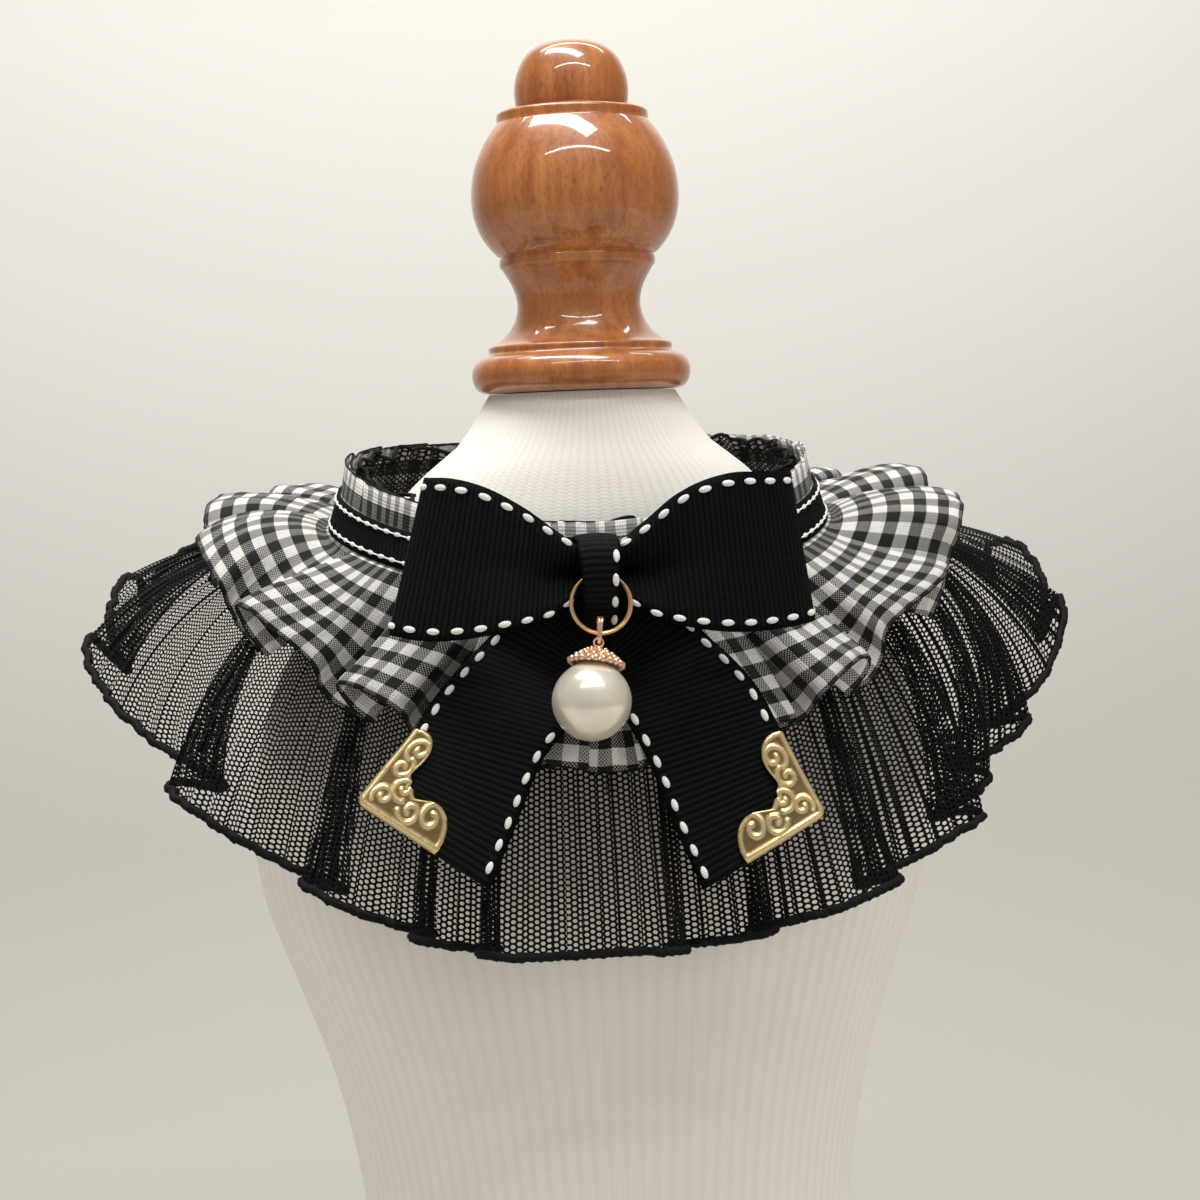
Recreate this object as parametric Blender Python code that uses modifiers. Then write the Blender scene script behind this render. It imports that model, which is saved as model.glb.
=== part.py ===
"""Ruff collar on a small limbless dress form.

A black grosgrain neck band carries two ruffles, a knife-pleated gingham one over a longer net one.
A ribbon bow with gold corner plates sits at the centre front, and a pearl drop hangs from its knot.

Frame: the origin is the middle of the form's flat base, +Z is up and the front faces -Y.
Sizes in the tables are millimetres and degrees. The angle round the neck is 0 at the centre front,
positive toward +X and 180 at the centre back.
"""
import bpy
import numpy as np
from mathutils import Matrix, Vector

MM = 0.001
CLOTH = 1.0            # thickness of every cloth wall
GAP = 0.3              # space between pieces that touch

# ---------------------------------------------------------------- neck and ruffles
NECK_CENTRE_X = -2.0
NECK_HALF_WIDTH = 67.0
NECK_HALF_DEPTH = 52.0
NECK_HEIGHT = 288.9    # mean height of the band's lower edge
NECK_BACK_RISE = 10.25
NECK_SIDE_RISE = 3.1

BAND_WIDTH = 10.0
BAND_LEAN = -73.0      # slope of the band, going down
HEADER_HEIGHT = 8.0    # gingham that stands above the band
NET_TOP_DROP = 2.0     # the net ends this much below the header's top
TURN_START = -2.0      # the band's lower edge, where the ruffles begin to turn out
TURN_END = 2.0
GINGHAM_HEM = 39.0
NET_HEM = 87.0
HEM_THICKNESS = 2.2    # overlocked hem of the net
HEM_WIDTH = 3.0
GINGHAM_UNDER = -1.3   # the gingham lies this far behind the band's middle surface
NET_UNDER = -2.6
LEAN = 0.7             # sideways lean of every fold, as a share of its lift
BACK_SLIT = 1.0        # angle left open on each side of the centre back
NET_COLUMNS = 192
PLEAT_DEPTH = 0.7      # fine pleats of the net
FIRST_NET_WAVE = 22.0  # the net's waves begin this far below the band

# angle round the neck | slope at the band | at the gingham hem | at the net hem | share of the
# cloth's width that is left by its small ripples
DRAPE = (
    (-180, 2, -18, -36, 1.00), (-150, 4, -14, -30, 1.00), (-120, 5, -15, -33, 0.96),
    (-105, 6, -26, -58, 0.90), (-92, -5, -43, -81, 0.84), (-80, -20, -56, -92, 0.83),
    (-68, -37, -59, -81, 0.86), (-57, -66, -74, -80, 0.92), (-45, -74, -78, -82, 0.97),
    (-30, -73, -79, -85, 1.00), (0, -70, -78, -86, 1.00), (30, -73, -79, -85, 1.00),
    (45, -77, -78, -80, 1.00), (57, -70, -75, -82, 0.98), (68, -57, -71, -86, 0.96),
    (80, -24, -64, -104, 0.98), (92, -3, -53, -100, 0.99), (98, -2, -38, -74, 1.00),
    (105, 0, -21, -42, 1.00), (120, 2, -14, -30, 1.00), (150, 4, -14, -30, 1.00),
    (180, 2, -18, -36, 1.00),
)

# folds of the net, front to back: foot angle | crest angle | lift of the crest at the hem
NET_FOLDS_LEFT = (
    (-3, -24, 13), (-29, -36, 12), (-42, -55, 12), (-61, -76, 14), (-82, -106, 15),
    (-111, -120, 12), (-125, -134, 14), (-139, -147, 12), (-152, -160, 13), (-165, -173, 11),
)
NET_FOLDS_RIGHT = (
    (2, 9, 12), (14, 26, 10), (46, 53, 13), (62, 75, 13), (80, 84, 12), (89, 94, 13),
    (99.5, 104, 12), (110, 117, 12), (121, 130, 14), (135, 143, 12), (148, 158, 13), (163, 172, 11),
)
# pleats of the gingham, front to back: angle of the overlapping edge | lift of that edge
GINGHAM_PLEATS_LEFT = ((-13, 2.5), (-33, 5), (-53, 7), (-66, 7), (-93, 9), (-117, 8), (-141, 7.5),
                       (-163, 7))
GINGHAM_PLEATS_RIGHT = ((14, 2.5), (31, 5), (45, 7), (60, 7), (79, 9), (100, 9), (123, 8), (145, 7.5),
                        (165, 7))
PLEAT_RETURN = 3.6     # angle over which a pleat drops behind its edge
PLEAT_STEPS = 6        # columns across a pleat's face


def column(table, index):
    return np.array([row[index] for row in table], float)


def smooth_between(x, xs, ys):
    """Cubic curve through a table, with the slope at each row taken from its neighbours."""
    slopes = np.gradient(ys, xs)
    i = np.clip(np.searchsorted(xs, x, side="right") - 1, 0, len(xs) - 2)
    step = xs[i + 1] - xs[i]
    t = (x - xs[i]) / step
    return ((2 * t**3 - 3 * t**2 + 1) * ys[i] + (t**3 - 2 * t**2 + t) * step * slopes[i]
            + (3 * t**2 - 2 * t**3) * ys[i + 1] + (t**3 - t**2) * step * slopes[i + 1])


def ease(t):
    t = np.clip(t, 0.0, 1.0)
    return t * t * (3 - 2 * t)


def neck_line(angle):
    """Points on the band's lower edge, and the level direction square to it."""
    a = np.radians(angle)
    point = np.stack([NECK_CENTRE_X + NECK_HALF_WIDTH * np.sin(a), -NECK_HALF_DEPTH * np.cos(a),
                      NECK_HEIGHT - NECK_BACK_RISE * np.cos(a) - NECK_SIDE_RISE * np.cos(2 * a)], -1)
    out = np.stack([np.sin(a) / NECK_HALF_WIDTH, -np.cos(a) / NECK_HALF_DEPTH, 0 * a], -1)
    return point, out / np.linalg.norm(out, axis=-1, keepdims=True)


def drop_line(angle, down):
    """How far out and up the drape is, and its slope, at a distance down from the neck line."""
    slopes = [np.full_like(angle, BAND_LEAN)]
    slopes += [smooth_between(angle, column(DRAPE, 0), column(DRAPE, i)) for i in (1, 2, 3)]
    slopes = np.radians(slopes)
    share = smooth_between(angle, column(DRAPE, 0), column(DRAPE, 4))
    knots = (TURN_START, TURN_END, GINGHAM_HEM, NET_HEM)
    above = np.minimum(down - TURN_START, 0.0)
    out = above * np.cos(slopes[0])
    up = above * np.sin(slopes[0])
    slope = slopes[0]
    for start, end, first, last in zip(knots, knots[1:], slopes, slopes[1:]):
        run = np.clip(down - start, 0.0, end - start)
        here = first + (last - first) * run / (end - start)
        chord = run * share * np.sinc((here - first) / (2 * np.pi))
        out = out + chord * np.cos((first + here) / 2)
        up = up + chord * np.sin((first + here) / 2)
        slope = np.where(down > start, here, slope)
    return out, up, slope


def drape_point(angle, down, lift):
    """A point of the collar: round the neck, down the drape, and lifted square to the drape."""
    angle, down, lift = np.broadcast_arrays(angle, down, lift)
    angle, down, lift = (v.astype(float) for v in (angle, down, lift))
    side = np.sign(angle) * ease(np.abs(angle) / 16) * ease((180 - np.abs(angle)) / 16)
    raised = np.maximum(lift - NET_UNDER, 0.0) * ease((down - TURN_END) / 12)
    angle = angle + np.degrees(LEAN * side * raised / (NECK_HALF_WIDTH + np.maximum(down, 0.0)))
    out, up, slope = drop_line(angle, down)
    point, level = neck_line(angle)
    out = out - lift * np.sin(slope)
    up = up + lift * np.cos(slope)
    return point + level * out[..., None] + np.array([0.0, 0.0, 1.0]) * up[..., None]


def net_wave(angle):
    """Lift of the net's large folds at its hem: a slow rise to each crest, then a steep fall."""
    knots = [(0.0, NET_FOLDS_LEFT[0][2] * 0.5), (-180.0, 4.0), (180.0, 4.0)]
    for foot, crest, lift in NET_FOLDS_LEFT + NET_FOLDS_RIGHT:
        knots += [(foot, 1.0), (crest, lift)]
    knots = np.array(sorted(knots))
    i = np.clip(np.searchsorted(knots[:, 0], angle, side="right") - 1, 0, len(knots) - 2)
    t = (angle - knots[i, 0]) / (knots[i + 1, 0] - knots[i, 0])
    t = 0.5 * ease(t) + 0.5 * t
    return knots[i, 1] + (knots[i + 1, 1] - knots[i, 1]) * t


def pleat_spans():
    """Start, overlapping edge and lift of each gingham pleat, for one side after the other."""
    for side, pleats in ((-1, GINGHAM_PLEATS_LEFT), (1, GINGHAM_PLEATS_RIGHT)):
        start = 0.0
        for edge, lift in pleats + ((side * (180 - BACK_SLIT), 3.0),):
            yield side, start, abs(edge), lift
            start = abs(edge) + PLEAT_RETURN * 0.6


def gingham_wave(angle):
    """Lift of the knife pleats at the gingham's hem, highest at each overlapping edge."""
    wave = np.zeros_like(angle)
    for side, start, edge, lift in pleat_spans():
        turned = angle * side
        rise = np.clip((turned - start) / (edge - start), 0.0, 1.0) ** 0.6
        fall = 1 - ease((turned - edge) / PLEAT_RETURN)
        wave = np.maximum(wave, lift * rise * fall)
    return wave


def gingham_columns():
    """Angles of the gingham's columns: even across each face, with two more down its return."""
    angles = [0.0]
    for side, start, edge, lift in pleat_spans():
        angles += [side * value for value in np.linspace(start, edge, PLEAT_STEPS + 1)[1:]]
        if edge < 180 - BACK_SLIT:
            angles.append(side * (edge + PLEAT_RETURN * 0.45))
    return np.array(sorted(angles))


def net_lift(angle, down):
    share = np.clip((down - FIRST_NET_WAVE) / (NET_HEM - FIRST_NET_WAVE), 0.0, 1.0) ** 1.3
    return NET_UNDER + net_wave(angle) * share


def gingham_lift(angle, down):
    spread = np.clip((down - TURN_END) / (GINGHAM_HEM - TURN_END), 0.0, 1.0)
    header = ease((TURN_START - BAND_WIDTH - down) / HEADER_HEIGHT)
    return (net_lift(angle, down) + GINGHAM_UNDER - NET_UNDER + 1.6 * spread
            + gingham_wave(angle) * (spread**0.7 + 0.2 * header))


def net_surface(angle, down, pleat):
    """pleat runs from -1 to 1 across each fine pleat."""
    depth = PLEAT_DEPTH * ease((down - 15) / 45)
    return drape_point(angle, down, net_lift(angle, down) + depth * pleat)


def gingham_surface(angle, down):
    return drape_point(angle, down, gingham_lift(angle, down))


# ---------------------------------------------------------------- bow
KNOT_X = -4.6
KNOT_WIDTH = 8.6
# side view of the knot's wrap, from its top front down and round: depth y | height
KNOT_PROFILE = (
    (-71.5, 288.6), (-73.8, 285.6), (-74.4, 281.5), (-73.6, 277.0), (-71.2, 272.8), (-68.0, 269.0),
    (-64.4, 266.2), (-60.4, 264.8), (-56.6, 265.8), (-54.2, 269.0), (-53.3, 274.0), (-53.3, 284.0),
    (-54.4, 287.4), (-57.4, 289.2), (-62.6, 289.9), (-67.6, 289.8),
)

# a loop, from the knot out along its front and back along its rear:
# distance from the knot at mid height | depth y | top z | bottom z
LOOP_LEFT = (
    (0.4, -68.4, 287.2, 275.6), (5, -68.9, 287.9, 274.9), (11, -71.2, 291.4, 271.2),
    (20, -75.0, 297.6, 268.9), (30, -74.6, 302.8, 267.0), (39, -72.0, 305.2, 266.9),
    (43.7, -68.8, 305.4, 267.8), (45.4, -65.6, 305.4, 268.2), (44, -62.6, 305.0, 268.4),
    (39, -61.0, 304.4, 268.2), (30, -61.4, 301.8, 268.4), (20, -62.4, 297.0, 269.8),
    (11, -64.0, 291.2, 271.6), (5, -65.5, 287.9, 274.9), (0.4, -66.0, 287.2, 275.6),
)
LOOP_RIGHT = (
    (0.4, -68.4, 287.2, 275.6), (5, -68.9, 287.9, 274.9), (12, -71.4, 292.6, 270.4),
    (22, -75.0, 300.6, 267.2), (33, -74.8, 304.0, 265.8), (43, -72.0, 304.0, 266.2),
    (48.8, -68.6, 303.8, 267.0), (50.6, -65.4, 303.6, 267.4), (49.2, -62.4, 303.4, 267.6),
    (43, -60.8, 303.2, 267.4), (33, -61.2, 302.4, 267.2), (22, -62.2, 299.4, 268.8),
    (12, -63.9, 292.2, 271.2), (5, -65.5, 287.9, 274.9), (0.4, -66.0, 287.2, 275.6),
)
LOOP_STRIPS = 8        # divisions across a loop
LOOP_SLANT = {"left": 0.22, "right": 0.10}    # the lower edge reaches this share further out
CREASE = 0.5           # depth of the gathers at the knot
CREASE_REACH = 24.0

# a tail, from the knot down: outer edge x, z | inner edge x, z | depth y
TAIL_LEFT = (
    (-5.0, 285.0, -5.0, 269.4, -61.6), (-9.4, 284.4, -9.4, 267.6, -61.4),
    (-15.0, 281.0, -10.3, 263.2, -59.8), (-23.0, 274.0, -8.6, 258.6, -59.0),
    (-31.5, 265.6, -9.8, 254.4, -60.6), (-39.4, 258.6, -12.3, 249.4, -65.2),
    (-45.6, 252.2, -16.0, 242.8, -68.6), (-50.6, 245.2, -20.8, 235.0, -70.8),
    (-57.6, 238.0, -27.0, 222.0, -74.4), (-65.0, 230.2, -34.2, 207.6, -79.0),
)
TAIL_RIGHT = (
    (-4.2, 285.0, -4.2, 269.4, -61.6), (0.4, 284.4, 0.6, 267.6, -61.4),
    (6.0, 281.0, 1.4, 263.2, -59.8), (14.0, 274.0, -0.4, 258.6, -59.0),
    (22.0, 264.8, -1.4, 254.4, -60.6), (28.6, 258.0, -0.4, 250.0, -65.2),
    (33.8, 251.0, 2.0, 243.0, -68.6), (38.0, 241.8, 6.6, 233.0, -70.8),
    (42.6, 231.6, 11.2, 219.2, -74.4), (47.4, 221.4, 16.8, 204.6, -79.0),
)
TAIL_STRIPS = 8
TAIL_BULGE = 0.6

PLATE_LEG = 24.0
PLATE_THICKNESS = 0.8
PLATE_INNER = ((0, 24.0), (10, 20.5), (18, 16.6), (27, 13.2), (36, 11.6), (45, 9.4),
               (54, 11.6), (63, 13.2), (72, 16.6), (80, 20.5), (90, 24.0))

# ---------------------------------------------------------------- pearl drop
RING_RADIUS = 7.15
RING_WIRE = 0.65
RING_TOP = (KNOT_X, -71.5, 281.1)
RING_TILT = 10.0       # the ring's foot stands forward of its top
BAIL_SIDE = 6.0        # the bail has slid this far round the ring, toward -X
BAIL_WIRE = 0.45
BAIL_ROUND = 1.6
BAIL_TOP = 5.15        # centres of the bail's two round ends, from the ring's centre
BAIL_FOOT = 7.9
EYE_RADIUS = 1.1
EYE_WIRE = 0.3
PEARL_RADIUS = 9.5
PEARL_DROP = 14.3      # from the eye's middle to the pearl's
DROP_DIRECTION = (-0.178, -0.286, -0.942)
# bead cap, from its tip down the outside and back inside: radius | height above the pearl's middle
CAP_PROFILE = ((0, 12.6), (1.0, 12.6), (2.4, 11.9), (4.0, 11.0), (5.4, 10.3), (6.7, 9.6), (6.7, 9.0),
               (5.4, 9.2), (3.6, 9.9), (1.8, 10.1), (0, 10.1))

# ---------------------------------------------------------------- dress form
# height | half width | half depth | middle y
FORM = (
    (0, 86, 53, 0), (2, 88, 55, 0), (15, 87, 54, 0), (50, 80, 49, 0), (95, 67, 43, 1), (108, 67, 43, 1),
    (125, 69.5, 44, 2), (146, 74.5, 46, 3.5), (170, 83, 49, 5.5), (193, 91, 50.5, 7), (215, 93, 50, 7.5),
    (232, 90.5, 48.5, 7.5), (250, 85, 45.5, 6.5), (264, 77.5, 42.5, 5), (276, 69, 39.5, 3.5),
    (286, 61, 37, 2), (294, 54, 34.5, 1), (301, 47.5, 32, 0.5), (307, 41, 30, 0), (312, 34.5, 28, 0),
    (318, 30, 26.5, 0), (325.9, 25, 24.5, 0),
)
FORM_SIDES = 32
CAP_BOTTOM = 326.2
# turned neck cap: radius | height above its foot
NECK_CAP = ((0, 93), (7, 92.3), (10.4, 90.7), (12.9, 88), (15.3, 82), (14.9, 75.6), (20, 74), (24.6, 66),
            (27.8, 53), (25.8, 43), (21.2, 35.3), (20.2, 34), (19.6, 31), (16.6, 24.2), (18.8, 16.8),
            (22.5, 12.8), (25, 9.7), (27.4, 8.4), (29.4, 4.4), (26.2, 0), (0, 0))

SNAP_RADIUS = 4.0
SNAP_HEIGHT = 1.4
LAP = 7.0              # angle by which the band's ends pass each other at the back
LAP_STEP = 1.4         # the upper end lies this far out


def material(name, colour, roughness, metallic=0.0):
    made = bpy.data.materials.new(name)
    made.use_nodes = True
    shader = made.node_tree.nodes["Principled BSDF"]
    shader.inputs["Base Color"].default_value = (*colour, 1.0)
    shader.inputs["Roughness"].default_value = roughness
    shader.inputs["Metallic"].default_value = metallic
    return made


def add_object(name, data, look):
    made = bpy.data.objects.new(name, data)
    data.materials.append(look)
    PARTS.objects.link(made)
    return made


def grid_mesh(name, rows, closed=False):
    """Open or tubular quad surface through rows of points given in millimetres."""
    rows = np.asarray(rows, float)
    count, width = rows.shape[:2]
    faces = []
    for i in range(count if closed else count - 1):
        for j in range(width - 1):
            k = (i + 1) % count
            faces.append((i * width + j, i * width + j + 1, k * width + j + 1, k * width + j))
    mesh = bpy.data.meshes.new(name)
    mesh.from_pydata((rows.reshape(-1, 3) * MM).tolist(), [], faces)
    return mesh


def cloth(name, rows, look, thickness=CLOTH, closed=False):
    made = add_object(name, grid_mesh(name, rows, closed), look)
    wall = made.modifiers.new("wall", "SOLIDIFY")
    wall.thickness = thickness * MM
    wall.offset = 0.0
    return made


def loft_solid(name, rings, look):
    """Closed body through rings of points, with a flat face at each end."""
    rings = np.asarray(rings, float)
    count, sides = rings.shape[:2]
    faces = [tuple(reversed(range(sides)))]
    for i in range(count - 1):
        for j in range(sides):
            k = (j + 1) % sides
            faces.append((i * sides + j, i * sides + k, (i + 1) * sides + k, (i + 1) * sides + j))
    faces.append(tuple((count - 1) * sides + j for j in range(sides)))
    mesh = bpy.data.meshes.new(name)
    mesh.from_pydata((rings.reshape(-1, 3) * MM).tolist(), [], faces)
    mesh.shade_smooth()
    mesh.set_sharp_from_angle(angle=np.radians(50))
    return add_object(name, mesh, look)


def turned(name, profile, look, steps):
    """Solid of revolution about its own Z from a (radius, height) profile, top to bottom."""
    mesh = bpy.data.meshes.new(name)
    points = [(radius * MM, 0.0, height * MM) for radius, height in profile]
    mesh.from_pydata(points, [(i, i + 1) for i in range(len(points) - 1)], [])
    made = add_object(name, mesh, look)
    screw = made.modifiers.new("turn", "SCREW")
    screw.steps = screw.render_steps = steps
    screw.use_merge_vertices = True
    screw.merge_threshold = 0.00001
    return made


def wire_loop(name, points, radius, look):
    """Closed round wire through points."""
    curve = bpy.data.curves.new(name, "CURVE")
    curve.dimensions = "3D"
    curve.bevel_depth = radius * MM
    curve.bevel_resolution = 1
    line = curve.splines.new("POLY")
    line.points.add(len(points) - 1)
    for spot, point in zip(line.points, points):
        spot.co = (*(np.asarray(point) * MM), 1.0)
    line.use_cyclic_u = True
    return add_object(name, curve, look)


def frame_from(down, side):
    """Rotation whose -Z is the given direction and whose X is close to the given side."""
    up = -Vector(down).normalized()
    forward = up.cross(Vector(side)).normalized()
    right = forward.cross(up)
    return Matrix((right, forward, up)).transposed()


def make_form(looks):
    turn = np.linspace(0, 2 * np.pi, FORM_SIDES, endpoint=False)
    rings = [np.stack([wide * np.cos(turn), middle + deep * np.sin(turn), 0 * turn + height], -1)
             for height, wide, deep, middle in FORM]
    loft_solid("dress_form", rings, looks["knit cover"])
    cap = turned("neck_cap", NECK_CAP, looks["turned wood"], steps=28)
    cap.location.z = CAP_BOTTOM * MM


def make_ruffles(looks):
    down = np.array([TURN_START - BAND_WIDTH - HEADER_HEIGHT, TURN_START - BAND_WIDTH, TURN_START,
                     TURN_END, 18, GINGHAM_HEM])[None, :]
    around = gingham_columns()[:, None]
    cloth("gingham_ruffle", gingham_surface(around, down), looks["gingham"])

    around = np.linspace(BACK_SLIT - 180, 180 - BACK_SLIT, NET_COLUMNS + 1)[:, None]
    pleat = np.where(np.arange(NET_COLUMNS + 1) % 2, 1.0, -1.0)[:, None]
    top = TURN_START - BAND_WIDTH - HEADER_HEIGHT + NET_TOP_DROP
    down = np.array([top, TURN_START, TURN_END, 22, 42, 62, NET_HEM - HEM_WIDTH, NET_HEM])[None, :]
    net = cloth("net_ruffle", net_surface(around, down, pleat), looks["black net"], HEM_THICKNESS)
    hem = net.vertex_groups.new(name="hem")
    rows = down.shape[1]
    hem.add([i for i in range((NET_COLUMNS + 1) * rows) if i % rows == rows - 1], 1.0, "REPLACE")
    net.modifiers["wall"].vertex_group = "hem"
    net.modifiers["wall"].thickness_vertex_group = CLOTH / HEM_THICKNESS


def make_band(looks):
    around = np.linspace(-180, 180 + LAP, 68)[:, None]
    over = LAP_STEP * ease((around - 180 + 2 * LAP) / LAP)
    down = np.array([TURN_START - BAND_WIDTH, TURN_START])[None, :]
    out, up, slope = drop_line(around + 0 * down, down + 0 * around)
    point, level = neck_line(around + 0 * down)
    out = out - over * np.sin(slope)
    up = up + over * np.cos(slope)
    rows = point + level * out[..., None] + np.array([0, 0, 1.0]) * up[..., None]
    cloth("neck_band", rows, looks["grosgrain"])
    middle = Vector(rows[-3].mean(axis=0))
    outward = Vector((float(level[-3, 0, 0]), float(level[-3, 0, 1]), 0.0))
    snap = turned("snap", ((0, SNAP_HEIGHT), (2.2, SNAP_HEIGHT), (SNAP_RADIUS, 0.5),
                           (SNAP_RADIUS, 0), (0, 0)), looks["dark metal"], steps=16)
    tilt = np.radians(90 + BAND_LEAN)
    face = outward * float(np.cos(tilt)) + Vector((0, 0, float(np.sin(tilt))))
    snap.rotation_euler = frame_from(-face, (1, 0, 0)).to_euler()
    snap.location = (middle + face * (CLOTH / 2 + GAP)) * MM


def loop_rows(table, side, slant):
    """Rows across the ribbon for each place along a loop; side is -1 on the left."""
    across = np.linspace(0, 1, LOOP_STRIPS + 1)
    rows = []
    for away, depth, top, bottom in table:
        crease = CREASE * max(0.0, 1 - away / CREASE_REACH) * np.sin(3 * np.pi * across)
        reach = away * (1 + slant * (across - 0.5))
        rows.append(np.stack([KNOT_X + side * reach, depth - crease,
                              top + (bottom - top) * across], -1))
    return np.array(rows)


def tail_surface(table, along, across):
    """Point of a tail: along runs down from 0 to 1, across runs from the outer to the inner edge."""
    place = np.linspace(0, 1, len(table))
    outer_x, outer_z, inner_x, inner_z, depth = (
        smooth_between(along, place, column(table, i)) for i in range(5))
    bulge = TAIL_BULGE * np.sin(np.pi * across)
    return np.stack([outer_x + (inner_x - outer_x) * across, depth - bulge + 0 * across,
                     outer_z + (inner_z - outer_z) * across], -1)


def make_bow(looks):
    for side, name, loop, tail in ((-1, "left", LOOP_LEFT, TAIL_LEFT), (1, "right", LOOP_RIGHT, TAIL_RIGHT)):
        cloth(f"bow_loop_{name}", loop_rows(loop, side, LOOP_SLANT[name]), looks["grosgrain"])
        along = np.linspace(0, 1, 13)[:, None]
        across = np.linspace(0, 1, TAIL_STRIPS + 1)[None, :]
        cloth(f"bow_tail_{name}", tail_surface(tail, along, across), looks["grosgrain"])
        make_corner_plate(name, tail, looks)

    rows = [[(KNOT_X + KNOT_WIDTH * share, y, z) for share in (-0.5, 0.0, 0.5)]
            for y, z in KNOT_PROFILE]
    cloth("bow_knot", rows, looks["grosgrain"], closed=True)


def make_corner_plate(name, tail, looks):
    """Thin L-shaped plate over a tail's outer lower corner, laid on the ribbon's own surface."""
    end = tail_surface(tail, np.array([1.0]), np.array([0.0, 1.0]))
    width = np.linalg.norm(end[1] - end[0])
    side_run = tail_surface(tail, np.array([0.75, 1.0]), np.array([0.0]))
    length = np.linalg.norm(side_run[1] - side_run[0]) / 0.25
    rows = []
    for turn, reach in PLATE_INNER:
        row = []
        for share in (0.02, 0.35, 0.7, 1.0):
            along = 1.0 - share * reach * np.cos(np.radians(turn)) / length
            across = share * reach * np.sin(np.radians(turn)) / width
            spot = tail_surface(tail, np.array(along), np.array(across))
            step = 0.01
            down = tail_surface(tail, np.array(along - step), np.array(across)) - spot
            over = tail_surface(tail, np.array(along), np.array(across + step)) - spot
            face = np.cross(down, over)
            face = face / np.linalg.norm(face)
            face = face * -np.sign(face[1])
            row.append(spot + face * (CLOTH / 2 + GAP + PLATE_THICKNESS / 2))
        rows.append(row)
    cloth(f"corner_plate_{name}", rows, looks["gold"], PLATE_THICKNESS)


def make_drop(looks):
    tilt = np.radians(RING_TILT)
    top = np.array(RING_TOP)
    foot = np.array([0.0, -np.sin(tilt), -np.cos(tilt)])
    centre = top + foot * RING_RADIUS
    turn = np.linspace(0, 2 * np.pi, 30, endpoint=False)
    ring = centre + RING_RADIUS * (np.outer(np.sin(turn), (1, 0, 0)) + np.outer(np.cos(turn), foot))
    wire_loop("split_ring", ring, RING_WIRE, looks["gold"])

    slide = np.radians(BAIL_SIDE)
    radial = foot * np.cos(slide) + np.array([-np.sin(slide), 0.0, 0.0])
    front = np.array([0.0, -np.cos(tilt), np.sin(tilt)])
    link = []
    for turn in np.radians(np.arange(0, 360, 20) + 10):
        end = BAIL_FOOT if np.cos(turn) > 0 else BAIL_TOP
        link.append(centre + radial * (end + BAIL_ROUND * np.cos(turn))
                    + front * BAIL_ROUND * np.sin(turn))
    wire_loop("bail", link, BAIL_WIRE, looks["rose gold"])

    hang = np.array(DROP_DIRECTION) / np.linalg.norm(DROP_DIRECTION)
    eye = centre + radial * BAIL_FOOT + hang * BAIL_ROUND
    side = np.cross(hang, front)
    side = side / np.linalg.norm(side)
    turn = np.linspace(0, 2 * np.pi, 14, endpoint=False)
    loop = eye + EYE_RADIUS * (np.outer(np.sin(turn), side) + np.outer(np.cos(turn), hang))
    wire_loop("eye_pin", loop, EYE_WIRE, looks["rose gold"])

    pearl_middle = eye + hang * PEARL_DROP
    rotation = frame_from(hang, (1, 0, 0)).to_euler()
    cap = turned("bead_cap", CAP_PROFILE, looks["rose gold"], steps=16)
    cap.rotation_euler = rotation
    cap.location = Vector(pearl_middle) * MM
    bpy.ops.mesh.primitive_uv_sphere_add(segments=20, ring_count=12, radius=PEARL_RADIUS * MM,
                                         location=Vector(pearl_middle) * MM, rotation=rotation)
    pearl = bpy.context.object
    pearl.name = "pearl"
    pearl.data.materials.append(looks["pearl"])
    pearl.data.shade_smooth()
    for holder in pearl.users_collection:
        holder.objects.unlink(pearl)
    PARTS.objects.link(pearl)


def main():
    looks = {
        "knit cover": material("knit cover", (0.80, 0.77, 0.73), 0.9),
        "turned wood": material("turned wood", (0.42, 0.17, 0.06), 0.25),
        "gingham": material("gingham", (0.45, 0.45, 0.45), 0.8),
        "black net": material("black net", (0.02, 0.02, 0.02), 0.8),
        "grosgrain": material("grosgrain", (0.008, 0.008, 0.009), 0.75),
        "gold": material("gold", (0.83, 0.62, 0.28), 0.3, 1.0),
        "rose gold": material("rose gold", (0.80, 0.50, 0.33), 0.3, 1.0),
        "pearl": material("pearl", (0.86, 0.82, 0.72), 0.2),
        "dark metal": material("dark metal", (0.05, 0.05, 0.05), 0.4, 1.0),
    }
    make_form(looks)
    make_ruffles(looks)
    make_band(looks)
    make_bow(looks)
    make_drop(looks)


for old in list(bpy.data.objects):
    bpy.data.objects.remove(old)
PARTS = bpy.data.collections.new("ruff_collar_on_dress_form")
bpy.context.scene.collection.children.link(PARTS)
main()
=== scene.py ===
"""Ruff collar on a small dress form, with its cloth, net, ribbon, stitches, metal and wood.

Sizes in the tables are millimetres and degrees, in the CAD model's frame: the origin is the middle of
the form's base, +Z is up and the front faces -Y. The angle round the neck is 0 at the centre front,
positive toward +X and 180 at the centre back.
"""

import bpy
import numpy as np
from mathutils import Matrix, Vector


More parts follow.
